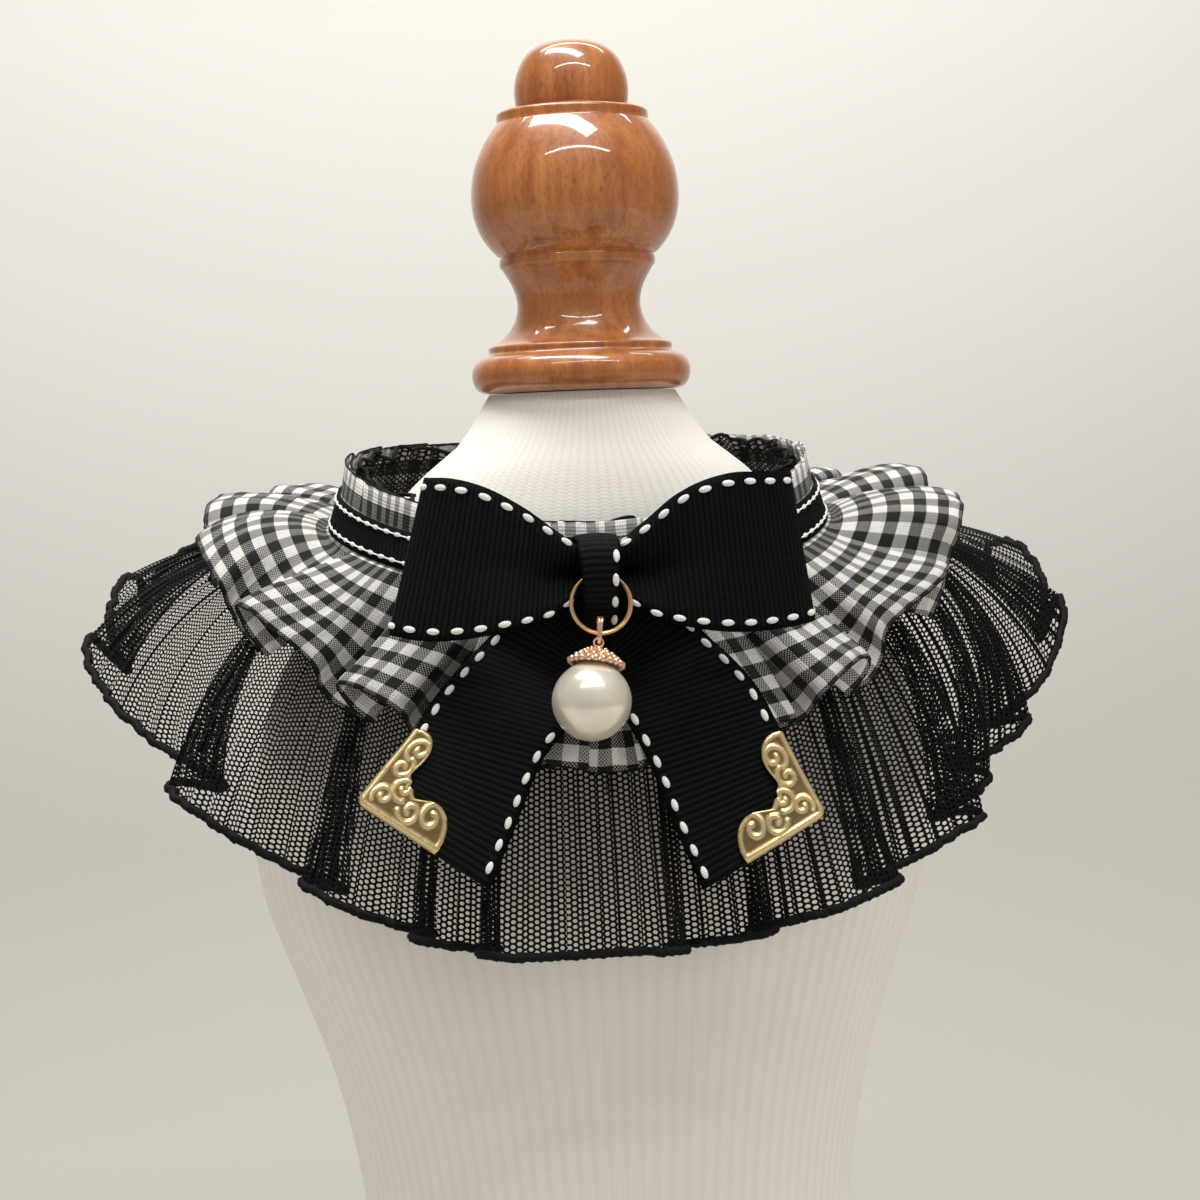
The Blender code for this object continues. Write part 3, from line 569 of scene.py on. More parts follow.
class Look:
    """One procedural material."""

    def __init__(self, name, colour, roughness, metallic=0.0, **plain):
        LOOKS[name] = bpy.data.materials.new(name)
        LOOKS[name].use_nodes = True
        self.tree = LOOKS[name].node_tree
        self.shader = self.tree.nodes["Principled BSDF"]
        self.colour(colour)
        self.rough(roughness)
        for socket, value in {"Metallic": metallic, **plain}.items():
            self.feed(self.shader.inputs[socket.replace("_", " ")], value)

    def feed(self, socket, value):
        if isinstance(value, Value):
            self.tree.links.new(value.socket, socket)
        elif isinstance(value, tuple) and len(value) == 3 and socket.type == "RGBA":
            socket.default_value = (*value, 1.0)
        else:
            socket.default_value = value

    def node(self, kind, inputs, output=0, **settings):
        made = self.tree.nodes.new("ShaderNode" + kind)
        for key, value in settings.items():
            setattr(made, key, value)
        for key, value in inputs.items():
            self.feed(made.inputs[key], value)
        return Value(self, made.outputs[output])

    def math(self, operation, a, b=0.0):
        return self.node("Math", {0: a, 1: b}, operation=operation)

    def stored(self, name, output="Fac"):
        return self.node("Attribute", {}, output, attribute_name=name)

    def parts(self, vector, *wanted):
        return [self.node("SeparateXYZ", {0: vector}, output) for output in wanted]

    def flat(self, *wanted):
        """Developed coordinates of the cloth."""
        return self.parts(self.stored("flat", "Vector"), *wanted)

    def place(self):
        return self.node("TexCoord", {}, "Object")

    def noise(self, scale, detail=3.0, roughness=0.5, stretch=None):
        where = self.place()
        if stretch:
            where = self.node("Mapping", {"Vector": where, "Scale": stretch})
        return self.node("TexNoise", {"Vector": where, "Scale": scale, "Detail": detail,
                                      "Roughness": roughness})

    def mix(self, share, a, b):
        return self.node("Mix", {0: share, 6: a, 7: b}, 2, data_type="RGBA")

    def spread(self, value, low, high, start=0.0, end=1.0):
        return self.node("MapRange", {0: value, 1: low, 2: high, 3: start, 4: end})

    def wave(self, value, pitch):
        """Smooth wave from 0 to 1."""
        return self.math("SINE", value * (2 * np.pi / pitch)) * 0.5 + 0.5

    def bump(self, height, distance, strength=1.0):
        self.feed(self.shader.inputs["Normal"],
                  self.node("Bump", {"Height": height, "Distance": distance, "Strength": strength}))

    def colour(self, value):
        self.feed(self.shader.inputs["Base Color"], value)

    def rough(self, value):
        self.feed(self.shader.inputs["Roughness"], value)


# name | roughness | noise scale | detail | dark | light | bump distance | strength
BLACK_THREADS = (
    ("net_thread", 0.7, 2500.0, 2.0, (0.001, 0.001, 0.001), (0.006, 0.0058, 0.0055), 0.00005, 0.6),
    ("overlock_thread", 0.75, 1400.0, 3.0, (0.002, 0.002, 0.002), (0.013, 0.0125, 0.012), 0.0003, 0.8),
)
# name | metallic | noise scale | dark | light | least and most roughness
METALS = (
    ("ring_gold", 0.72, 700.0, (0.86, 0.50, 0.20), (0.95, 0.68, 0.36), 0.10, 0.20),
    ("rose_gold", 0.72, 600.0, (0.84, 0.50, 0.30), (1.00, 0.78, 0.58), 0.14, 0.26),
    ("dark_metal", 1.0, 800.0, (0.03, 0.03, 0.03), (0.10, 0.10, 0.10), 0.30, 0.50),
)


def make_looks():
    for name, rough, scale, detail, dark, light, distance, strength in BLACK_THREADS:
        look = Look(name, light, rough, Specular_IOR_Level=0.14)
        fibre = look.noise(scale, detail)
        look.colour(look.mix(fibre, dark, light))
        look.bump(fibre, distance, strength)

    for name, metallic, scale, dark, light, least, most in METALS:
        look = Look(name, light, most, metallic)
        worn = look.noise(scale)
        look.colour(look.mix(worn, dark, light))
        look.rough(look.spread(worn, 0.3, 0.7, least, most))

    look = Look("gold", (0.85, 0.68, 0.36), 0.25, 0.72)
    worn = look.noise(500.0, 4.0)
    relief = look.spread(look.stored("relief"), 0.05, 0.7)
    look.colour(look.mix(relief, (0.30, 0.21, 0.09), (0.84, 0.66, 0.34)))
    look.rough(look.spread(worn, 0.3, 0.7, 0.22, 0.38))
    look.bump(worn, 0.00012, 0.5)

    look = Look("pearl", (0.80, 0.74, 0.62), 0.24, 0.5, Coat_Weight=1.0, Coat_Roughness=0.1,
                Specular_IOR_Level=0.6, Sheen_Weight=0.25, Sheen_Tint=(1.0, 0.86, 0.66))
    cloudy = look.noise(90.0)
    look.colour(look.mix(look.spread(cloudy, 0.35, 0.65), (0.84, 0.76, 0.61), (0.97, 0.92, 0.80)))
    look.bump(cloudy, 0.0006, 0.15)

    look = Look("white_thread", (0.80, 0.79, 0.76), 0.55, Sheen_Weight=0.15)
    fibre = look.noise(1800.0, 2.0)
    twist = look.wave(look.stored("along") + fibre * 0.25, 0.55)
    # painted shade: the thread is coloured darker in the grooves of its twist and lighter on its plies
    look.colour(look.mix(twist, (0.62, 0.61, 0.58), (0.86, 0.85, 0.82)))
    look.bump(twist + fibre, 0.00010, 0.6)

    look = Look("grosgrain", (0.004, 0.004, 0.004), 0.6, Specular_IOR_Level=0.07)
    across, = look.flat(1)
    thread = look.wave(across, 0.42)
    patchy = look.noise(900.0, 2.0)
    # painted highlight: the crests of the ribs are coloured lighter and the grooves darker, broken up
    # by the weave and a patchy noise
    painted_rib_highlight = look.stored("rib") * (thread * patchy + 0.35)
    look.colour(look.mix(painted_rib_highlight, (0.0006, 0.0006, 0.0007), (0.012, 0.012, 0.012)))
    look.rough(look.spread(patchy, 0.3, 0.7, 0.5, 0.75))
    look.bump(thread + patchy, 0.00008, 0.7)

    gingham_look()
    knit_look()
    wood_look()


def gingham_look():
    """Plain weave of black and white threads in even stripes both ways, from developed coordinates."""
    look = Look("gingham", (0.5, 0.5, 0.5), 0.8, Specular_IOR_Level=0.25, Sheen_Weight=0.1)
    wobble = (look.noise(260.0, 2.0) - 0.5) * 0.22
    round_way, down_way = (way + wobble for way in look.flat(0, 1))

    def stripe(value):
        return look.math("FRACT", look.math("DIVIDE", value, CHECK)) > 0.5

    warp = stripe(round_way)
    weft = stripe(down_way - HEM_ROW_SHIFT)
    across = look.wave(round_way, GINGHAM_THREAD * 2)
    along = look.wave(down_way, GINGHAM_THREAD * 2)
    over = (across - 0.5) * (along - 0.5) > 0.05
    fibre = look.noise(1500.0, 2.0)
    white = look.mix(warp * weft, look.mix(fibre, (0.28, 0.275, 0.26), (0.44, 0.435, 0.41)),
                     look.mix(fibre, (0.50, 0.495, 0.47), (0.74, 0.73, 0.70)))
    black = look.mix(fibre, (0.003, 0.003, 0.003), (0.010, 0.0095, 0.009))
    look.colour(look.mix(warp * over + weft * (1.0 - over), black, white))
    look.bump(across + along + fibre * 0.5, 0.00010, 0.8)


def knit_look():
    """Fine rib knit: rows of V stitches in ridges that run up the form."""
    look = Look("knit_cover", (0.80, 0.77, 0.72), 0.9, Specular_IOR_Level=0.2, Sheen_Weight=0.2)
    wale, height = look.flat(0, 1)
    part = look.math("FRACT", wale)
    from_middle = look.math("ABSOLUTE", part - 0.5)
    ridge = look.math("SINE", part * np.pi)
    stitch = look.wave(height + from_middle * 1.3, 0.95)
    tall = ridge * 1.2 + stitch * 0.45 + look.noise(1500.0) * 0.5
    # painted shade: the grooves between the knit's ridges and stitches are coloured darker and the
    # ridges lighter, mixed with a random fibre noise
    base = look.mix(look.spread(tall, 0.2, 1.8), (0.74, 0.71, 0.65), (0.81, 0.78, 0.72))
    look.colour(look.mix(look.noise(22.0) * 0.25, base, (0.74, 0.70, 0.64)))
    look.bump(tall, 0.00013, 0.5)


def wood_look():
    """Varnished turned wood: fine upright grain, pores and slow colour changes."""
    look = Look("varnished_wood", (0.4, 0.17, 0.06), 0.38, Coat_Weight=1.0, Coat_Roughness=0.05)
    grain = look.noise(1.0, 6.0, 0.6, (260.0, 260.0, 26.0))
    pores = look.noise(1.0, 3.0, 0.6, (1500.0, 1500.0, 420.0))
    slow = look.noise(1.0, 2.0, 0.5, (30.0, 30.0, 7.0))
    tone = look.mix(look.spread(grain, 0.32, 0.70), (0.29, 0.080, 0.018), (0.54, 0.205, 0.055))
    tone = look.mix(look.spread(slow, 0.35, 0.68, 0.0, 0.6), tone, (0.40, 0.118, 0.024))
    tone = look.mix(look.spread(pores, 0.50, 0.68, 0.0, 0.55), tone, (0.17, 0.046, 0.010))
    look.colour(tone)
    look.rough(look.spread(grain, 0.3, 0.7, 0.34, 0.46))
    look.bump(pores + grain, 0.00010, 0.25)


# ---------------------------------------------------------------- net
def tiny_pleats(total):
    """Developed place, place along the smooth edge, and side of each corner of the fine pleats."""
    rows = [(0.0, 0.0, -1.0)]
    while rows[-1][1] < total - 8:
        developed, along, _ = rows[-1]
        face = RANDOM.uniform(*TINY_PLEAT_FACE)
        back = RANDOM.uniform(*TINY_PLEAT_BACK)
        rows.append((developed + face + back, along + face + back, 1.0))
        rows.append((developed + face + 2 * back, along + face, -1.0))
    developed, along, _ = rows[-1]
    rows.append((developed + total - along, total, -1.0))
    return np.array(rows).T


def lattice(surface, total, top, bottom):
    """Net of hexagonal holes on surface(place round, place down), with how many holes down it has.

    A hole has six points; quads run along the threads, and triangles fill where three threads meet.
    """
    columns = int(total / HOLE_PITCH_ROUND) // 2 * 2
    rows = int((bottom - top) / HOLE_PITCH_DOWN)
    i, j = (v.ravel() for v in np.meshgrid(np.arange(columns), np.arange(rows), indexing="ij"))
    u = (i[:, None] + 0.5 + HOLE_SHARE * HEXAGON[:, 0]) * (total / columns)
    down = top + (j[:, None] + 0.5 + 0.5 * (i[:, None] % 2)
                  + HOLE_SHARE * HEXAGON[:, 1]) * HOLE_PITCH_DOWN

    def cell(x, y):
        inside = (x >= 0) & (x < columns) & (y >= 0) & (y < rows)
        return np.where(inside, (x * rows + y) * 6, -1)

    here, above = cell(i, j), cell(i, j + 1)
    upper, lower = cell(i + 1, j + i % 2), cell(i + 1, j - 1 + i % 2)
    quads = [np.stack([here + 1, here + 2, above + 4, above + 5], -1)[above >= 0],
             np.stack([here + 0, here + 1, upper + 3, upper + 4], -1)[upper >= 0],
             np.stack([here + 5, here + 0, lower + 2, lower + 3], -1)[lower >= 0]]
    triangles = [np.stack([here + 0, upper + 4, lower + 2], -1)[(upper >= 0) & (lower >= 0)],
                 np.stack([here + 1, above + 5, upper + 3], -1)[(above >= 0) & (upper >= 0)]]
    return surface(u.ravel(), down.ravel()), np.vstack(quads), np.vstack(triangles), columns, rows


def net_piece(name, rests_on, flat, points, quads, triangles, replaces=None):
    """A sheet of net; the area of its thread alone is worked out, and not used."""
    made = place(new_mesh(name, points, quads, triangles), "net_thread", replaces=replaces)
    flat = tuple(side * MM for side in flat)
    (1 - HOLE_SHARE**2) * flat[0] * flat[1]


def make_net():
    section = both_halves(*(half_section([(*fold, NET_FACE) for fold in folds], NET_RETURN, 5.0)
                            for folds in (NET_FOLDS_LEFT, NET_FOLDS_RIGHT)), FOLD_STEPS)

    def edge_point(angle, lift, down, tiny=0.0):
        share = np.clip((down - NET_FLARE_FROM) / (NET_HEM - NET_FLARE_FROM), 0.01, 1.1) ** 1.25
        depth = TINY_PLEAT_DEPTH * np.interp(down, (0, 30), (1.5, 1.0))
        return drape_point(angle, down, NET_UNDER + lift * share + depth * tiny)

    places = running_length(edge_point(*section.T, NET_GIRTH_AT))
    unfolded, folded, sides = tiny_pleats(places[-1])
    developed = unfolded[-1]

    def net_point(u, down):
        angle, lift = at_lengths(np.interp(u, unfolded, folded), places, section).T
        ripple = 0.5 * np.sin(u * 0.71) + 0.35 * np.sin(u * 0.29 + 1.0)
        return edge_point(angle, lift + ripple * ease((down - 50) / 37), down,
                          np.interp(u, unfolded, sides))

    points, quads, triangles, columns, rows = lattice(net_point, developed, TURN_START, NET_HEM - 0.6)
    length_of = np.arange(columns) * NET_LENGTHS // columns
    for n in range(NET_LENGTHS):
        four, three = (faces[length_of[faces[:, 0] // 6 // rows] == n] for faces in (quads, triangles))
        used, index = np.unique(np.concatenate([four.ravel(), three.ravel()]), return_inverse=True)
        net_piece(f"net_length_{n + 1}", ["neck_band", "dress_form"],
                  (developed / NET_LENGTHS, NET_HEM - TURN_START), points[used],
                  index[:four.size].reshape(-1, 4), index[four.size:].reshape(-1, 3),
                  "net_ruffle" if n == 0 else None)

    steps = np.arange(0, developed, 0.9)
    rim = net_point(steps, NET_HEM - 0.4)
    rim[1:-1] = (rim[:-2] + rim[1:-1] + rim[2:]) / 3
    rough = RANDOM.normal(0, 0.07, (len(steps), NET_RIM_SIDES))

    def overlock(along, turn):
        return twisted(0.15, 2.3)(along, turn) + twisted(0.07, 1.1)(along, 0.0) + rough

    mesh = tube_mesh("net_hem", [rim], NET_RIM, NET_RIM_SIDES, bump=overlock,
                     reference=unit(net_point(steps, NET_HEM) - net_point(steps, 80.0)))
    place(mesh, "overlock_thread")


def make_net_header():
    """The net's gathered top, which stands inside the gingham header and curls along its edge."""
    around = np.linspace(BACK_SLIT - 180, 180 - BACK_SLIT, 1400)
    places = running_length(drape_point(around, HEADER_GIRTH_AT, NET_UNDER))
    total = places[-1] * HEADER_GATHER
    top = TURN_START - BAND_WIDTH - HEADER_HEIGHT - 0.4
    bottom = TURN_START - 1.0
    phases = RANDOM.uniform(0, 2 * np.pi, 5)

    def header_point(u, down):
        rise = ease((HEADER_CURL_FROM - down) / 9)
        curl = (1.1 * np.sin(u * 0.62 + phases[0]) + 0.8 * np.sin(u * 0.37 + phases[1])
                + 0.5 * np.sin(u * 1.3 + phases[2]))
        shift = 1.28 * np.cos(u * 0.62 + phases[0]) * rise
        tall = 0.9 * np.sin(u * 0.23 + phases[3]) + 0.8 * np.sin(u * 0.41 + phases[4])
        return drape_point(np.interp(u / HEADER_GATHER, places, around) + shift, down - tall * rise,
                           NET_UNDER - 0.4 - (1.9 + curl) * rise)

    net_piece("net_header", ["neck_band"], (total, bottom - top),
              *lattice(header_point, total, top, bottom)[:3])
    rim = header_point(np.arange(0, total, 1.0), top + 0.3)
    mesh = tube_mesh("net_header_edge", [rim], HEADER_RIM, 7, bump=twisted(0.09, 1.7))
    place(mesh, "overlock_thread")


# ---------------------------------------------------------------- gingham
def pleats_at_band(table, face):
    """The pleats where they are stitched down: the cloth lies flat, doubled as far as it needs.

    A tuck hides what the next pleat needs at the hem beyond its step along the band.
    """
    folds, hems, lifts, overs, _ = np.array(table).T
    neck = running_length(neck_line(np.arange(181.0))[0])
    steps = np.diff(np.interp([0.0, *folds], np.arange(181), neck))
    widths = np.radians(hems - [0.0, *(hems - overs)[:-1]]) * HEM_RADIUS
    overs = np.radians(overs) * HEM_RADIUS
    last_width = np.radians(LAST_PLEAT[0]) * HEM_RADIUS
    needs = TUCK_SLACK * np.append(widths[1:], last_width) - np.append(steps[1:], LAST_PLEAT[1])
    rows, behind = [], 0.0
    for fold, step, width, lift, over, need in zip(folds, steps, widths, lifts, overs, needs):
        run = np.linalg.norm(np.diff(face, axis=0) * (width, lift), axis=1)
        from_fold = np.append(np.cumsum(run[::-1])[-2::-1], 0.0)
        shown = min(step, COLUMNS_CLOSE * run.sum())
        hidden = step + behind - shown
        seen = shown / COLUMNS_CLOSE
        away = np.where(from_fold < seen, COLUMNS_CLOSE * from_fold,
                        shown + hidden * (from_fold - seen) / max(run.sum() - seen, 0.1))
        tuck = np.clip(need, TUCK_LEAST, TUCK_MOST * step)
        tuck += 0.3 * (min(np.hypot(over, lift), step) - tuck)
        shares = 1.0 - away / (step + behind)
        covered = behind / (step + behind)
        rises = np.where(shares < covered, 0.05, 0.3 + 0.7 * (shares - covered) / (1 - covered))
        rows.append((fold, 1.0, np.degrees(tuck / BAND_RADIUS), [*zip(shares, rises)]))
        behind = tuck
    return rows


def make_gingham():
    tables = (GINGHAM_PLEATS_LEFT, GINGHAM_PLEATS_RIGHT)
    halves = []
    for table, face in zip(tables, PLEAT_FACES):
        at_hem = [(edge, lift, over, face[1:]) for _, edge, lift, over, _ in table]
        halves.append((half_section(at_hem, PLEAT_RETURN, 1.0),
                       half_section(pleats_at_band(table, face), PLEAT_RETURN, 0.3)))
    hem, band = (both_halves(left, right, PLEAT_STEPS) for left, right in zip(*halves))
    places = running_length(drape_point(hem[:, 0], GINGHAM_GIRTH_AT, hem[:, 1] + 0.7))
    upright = np.array([(side * edge, rise) for side, table in zip((-1, 1), tables)
                        for _, edge, _, _, rise in table[::side]])

    def gingham_point(index, down):
        open_share = np.clip((down + 2.0) / (GINGHAM_HEM + 2.0), 0.0, 1.0)
        angle_band, flat_lift, angle_hem, lift_hem = (
            np.interp(index, np.arange(len(hem)), v) for v in (*band.T, *hem.T))
        angle = angle_band + (angle_hem - angle_band) * open_share
        flat = np.interp(down, (-20, -12, -2, 3, 10), (2.0, 0.7, 0.7, 1.1, 1.2))
        lift = flat_lift * flat * (1 - open_share) + lift_hem * open_share ** 0.75
        base = GINGHAM_UNDER + 2.0 * open_share
        reach = down + open_share * (3.5 * bell(angle / 17) - 0.10 * lift_hem
                                     - 2.5 * bell((angle - 86) / 14))
        low = drape_point(angle, reach, base)
        square = drape_point(angle, reach, base + 1.0) - low
        rise = (open_share * np.interp(angle, *upright.T))[..., None]
        return low + unit(square * (1 - rise) + UP * rise) * lift[..., None]

    u = np.linspace(0, places[-1], GINGHAM_COLUMNS)
    index = np.interp(u, places, np.arange(len(hem)))
    top = TURN_START - BAND_WIDTH - HEADER_HEIGHT
    down = np.concatenate([np.linspace(top, -12, 5), np.linspace(-10, -2, 3), np.linspace(-1, 3, 4),
                           np.linspace(5.0, GINGHAM_HEM + 0.8, 12)])
    rows = gingham_point(index[:, None], down)
    wrinkle = (0.28 * np.sin(u[:, None] * 0.55 + down * 0.12)
               + 0.18 * np.sin(u[:, None] * 0.23 - down * 0.2)) * ease((down - 4) / 14)
    rows = rows + grid_normals(rows) * wrinkle[..., None]
    mesh = grid_mesh("gingham", rows)
    checks_down = np.where(down < -9, HEM_ROW_SHIFT - (down - top), down)
    note(mesh, "flat", xyz(u[:, None], checks_down, 0.0).reshape(-1, 3))
    made = wall(place(mesh, "gingham", replaces="gingham_ruffle"), GINGHAM_WALL)
    edges = [rows[::2, 0], rows[::2, -1]]
    mesh = tube_mesh("gingham_edges", edges, GINGHAM_RIM, 6, bump=twisted(0.06, 0.9))
    place(mesh, "overlock_thread")


# ---------------------------------------------------------------- ribbon
def ribbed(node, rows, along, across, pitch=RIB_PITCH, closed=False):
    """Grosgrain through a grid of points: ribs cross the ribbon, and fade at its selvedges."""
    if closed:
        normals = grid_normals(np.concatenate([rows[-2:], rows, rows[:2]]))[2:-2]
    else:
        normals = grid_normals(rows)
    fade = np.clip(np.minimum(across - across[0], across[-1] - across) / 0.9, 0.0, 1.0)
    crest = np.abs(np.sin(np.pi * along / pitch))[:, None] * fade
    mesh = grid_mesh(f"{node}_ribbon", rows + normals * (RIB_DEPTH * crest)[..., None], closed)
    note(mesh, "flat", xyz(along[:, None], across, 0.0).reshape(-1, 3))
    # crest height of each rib, which the grosgrain material turns into a painted highlight on the
    # crests
    note(mesh, "rib", crest.ravel() ** 2)
    made = wall(place(mesh, "grosgrain", replaces=node), RIBBON)
    return normals


def ovals(spots, ahead, normals, size):
    """Low rounded stitches lying on a surface, and the place along each one."""
    length, width, height = size
    turn = np.linspace(0, 2 * np.pi, STITCH_SIDES, endpoint=False)
    share, rise = STITCH_RINGS[:, :1], STITCH_RINGS[:, 1:]
    along = np.append(np.cos(turn) * share * length / 2, 0.0)
    across = np.append(np.sin(turn) * share * width / 2, 0.0)
    up = np.append(height * rise + 0 * turn, height)
    side = unit(np.cross(normals, ahead))
    points = spots[:, None] + sum(np.multiply.outer(v, w).transpose(1, 0, 2)
                                  for v, w in ((along, ahead), (across, side), (up, normals)))
    rings = len(STITCH_RINGS)
    tip = rings * STITCH_SIDES
    quads = grid_quads(rings, STITCH_SIDES, False, True)
    triangles = fan(np.arange(tip - STITCH_SIDES, tip), tip)
    faces = (copied(shape, tip + 1, len(spots)) for shape in (quads, triangles))
    return points.reshape(-1, 3), *faces, np.tile(along, len(spots))


def stitches(node, lines, size=STITCH_SIZE, pitch=STITCH_PITCH, thread=0.0):
    """White saddle stitches along lines, each a row of points with the surface's normals."""
    spots, ahead, normals = [], [], []
    for line, up in lines:
        places = running_length(line)
        count = int((places[-1] - size[0] * 0.5) / pitch)
        at = (places[-1] - count * pitch) / 2 + pitch * np.arange(count + 1)
        at = at[(at > size[0] * 0.4) & (at < places[-1] - size[0] * 0.4)]
        at = at + RANDOM.normal(0, 0.12, len(at))
        spots.append(at_lengths(at, places, line))
        normals.append(unit(at_lengths(at, places, up)))
        tangent = at_lengths(at + 0.5, places, line) - at_lengths(at - 0.5, places, line)
        tangent = tangent + RANDOM.normal(0, 0.05, tangent.shape)
        tangent = tangent - normals[-1] * np.sum(tangent * normals[-1], -1, keepdims=True)
        ahead.append(unit(tangent))
    *shape, along = ovals(np.vstack(spots), np.vstack(ahead), np.vstack(normals), size)
    mesh = new_mesh(f"{node}_stitches", *shape)
    note(mesh, "along", along)
    place(mesh, "white_thread")
    if thread:
        threads = [line + up * 0.12 for line, up in lines]
        place(tube_mesh(f"{node}_stitches_thread", threads, thread, 6), "white_thread")


def stitch_line(line, up, keep):
    return line[keep] + up[keep] * STITCH_LIFT, up[keep]


def make_band():
    fine = np.linspace(-180, BAND_END, 3000)
    over = BAND_LAP * ease((fine - BAND_LAP_FROM) / 7)

    def band_point(angle, down, lift):
        return drape_point(np.where(angle > 180, angle - 360, angle), down, lift)

    places = running_length(band_point(fine, -7.0, over))
    along = np.arange(0, places[-1], RIB_PITCH / RIB_SAMPLES)
    angle = np.interp(along, places, fine)[:, None]
    lift = np.interp(along, places, over)[:, None]
    across = np.linspace(0, BAND_WIDTH, 7)
    rows = band_point(angle, TURN_START - BAND_WIDTH + across, lift)
    normals = ribbed("neck_band", rows, along, across)
    outward = facing(normals, rows - rows.mean((0, 1)))
    lines = [(rows[::6, k] + outward[::6, k] * BAND_STITCH_LIFT, outward[::6, k]) for k in (1, 5)]
    stitches("band", lines, BAND_STITCH_SIZE, BAND_STITCH_PITCH, BAND_THREAD)


def make_loop(name, side, table):
    table = np.array(table, float)
    knots = running_length(np.stack([table[:, 0], table[:, 1], table[:, 2:].mean(1)], -1))
    fine = np.linspace(0, knots[-1], 900)
    curves = np.stack([smooth_between(fine, knots, column) for column in table.T], -1)
    middle = np.stack([curves[:, 0], curves[:, 1], (curves[:, 2] + curves[:, 3]) / 2], -1)
    places = running_length(middle)
    along = np.arange(0, places[-1], RIB_PITCH / RIB_SAMPLES)
    away, depth, top, bottom = at_lengths(along, places, curves).T[..., None]
    share = np.linspace(0, 1, 21)
    gather = 2.3 * bell(away / 14.0) + 0.45 * bell(away / 30.0)
    crease = gather * np.sin(3 * np.pi * share) + 0.5 * bell(away / 17.0) * np.sin(7 * np.pi * share)
    swell = 0.35 * np.sin(away * 0.21 + 1.0 + 2.2 * share) * ease(away / 20)
    reach = away * (1 + LOOP_SLANT[name] * (share - 0.5))
    rows = xyz(KNOT_X + side * reach, depth - crease - swell * np.sign(-66 - depth),
               top + (bottom - top) * share)
    node = f"bow_loop_{name}"
    normals = ribbed(node, rows, along, share * RIBBON_WIDTH)
    outward = facing(normals, (rows - (KNOT_X + side * 25.0, -67.0, 285.0)) * (0.2, 1, 0))
    lines = []
    for edge in (STITCH_IN / RIBBON_WIDTH, 1 - STITCH_IN / RIBBON_WIDTH):
        low = int(edge * 20)
        part = edge * 20 - low
        line, up = (v[:, low] * (1 - part) + v[:, low + 1] * part for v in (rows, outward))
        lines.append(stitch_line(line, unit(up), slice(18, len(line) - 18, 5)))
    stitches(node, lines)


def tail_surface(table, along, across):
    """Point of a tail: along runs down from 0 to 1, across runs from the outer to the inner edge."""
    table = np.array(table, float)
    spots = np.linspace(0, 1, len(table))
    outer_x, outer_z, inner_x, inner_z, depth = (smooth_between(along, spots, v) for v in table.T)
    bulge = TAIL_BULGE * np.sin(np.pi * across)
    crease = 0.7 * bell(along / 0.22) * np.sin(3 * np.pi * across)
    wave = (0.5 * np.sin(along * 9 + across * 2.5) * ease((along - 0.2) / 0.3)
            * ease((1.0 - along) / 0.25))
    return xyz(outer_x + (inner_x - outer_x) * across, depth - bulge - crease - wave,
               outer_z + (inner_z - outer_z) * across)


def make_tail(name, table):
    fine = np.linspace(0, 1, 700)
    places = running_length(tail_surface(table, fine, 0.5))
    along = np.arange(0, places[-1], TAIL_RIB_PITCH / RIB_SAMPLES)
    along[-1] = places[-1]
    at = np.interp(along, places, fine)
    share = np.linspace(0, 1, 19)
    rows = tail_surface(table, at[:, None], share[None, :])
    node = f"bow_tail_{name}"
    normals = ribbed(node, rows, along, share * RIBBON_WIDTH, TAIL_RIB_PITCH)
    outward = facing(normals, FORWARD)
    lines = []
    for edge, stop in ((STITCH_IN / RIBBON_WIDTH, 24.0), (1 - STITCH_IN / RIBBON_WIDTH, 1.0)):
        keep = (along > 13) & (along < places[-1] - stop)
        keep[::2] = False
        lines.append(stitch_line(tail_surface(table, at, edge), outward[:, round(edge * 18)], keep))
    stitches(node, lines)


def make_knot():
    profile = np.array([*KNOT_PROFILE, KNOT_PROFILE[0]], float)
    fine = through(np.vstack([profile[-3:-1], profile, profile[1:3]]), 40)[80:-80]
    places = running_length(fine)
    ribs = round(places[-1] / KNOT_RIB_PITCH)
    along = np.arange(0, ribs * RIB_SAMPLES) * places[-1] / (ribs * RIB_SAMPLES)
    line = at_lengths(along, places, fine)
    y, z = line.T
    share = np.linspace(-0.5, 0.5, 11)
    width = KNOT_WIDTH * (1 + 0.12 * ease((z - 280) / 8) - 0.05 * ease((282 - z) / 8))
    belly = 0.5 * (1 - (2 * share) ** 2) - 0.25
    away = unit(line - KNOT_MIDDLE[1:])
    rows = xyz(KNOT_X + width[:, None] * share, y[:, None] + away[:, :1] * belly,
               z[:, None] + away[:, 1:] * belly)
    normals = ribbed("bow_knot", rows, along, (share + 0.5) * KNOT_RIBBON,
                     places[-1] / ribs, closed=True)
    outward = facing(normals, rows - KNOT_MIDDLE)
    front = (z > KNOT_STITCHED[0]) & (z < KNOT_STITCHED[1]) & (y < -60)
    order = np.argsort(-z[front] - (y[front] > -70) * 100 * (z[front] > 280))
    line, up = (v[front, KNOT_STITCH_COLUMN][order] for v in (rows, outward))
    stitches("bow_knot", [stitch_line(line, up, slice(0, None, 2))])


# ---------------------------------------------------------------- corner plates
def scrolls():
    along, across, radius, start, turn = np.array(PLATE_SCROLLS, float).T[..., None]
    t = np.linspace(0, 1, SCROLL_STEPS)
    angle = np.radians(start + turn * t)
    size = radius * (1 - 0.78 * t)
    return xyz(along + size * np.cos(angle), across + size * np.sin(angle), 0.0)[..., :2]


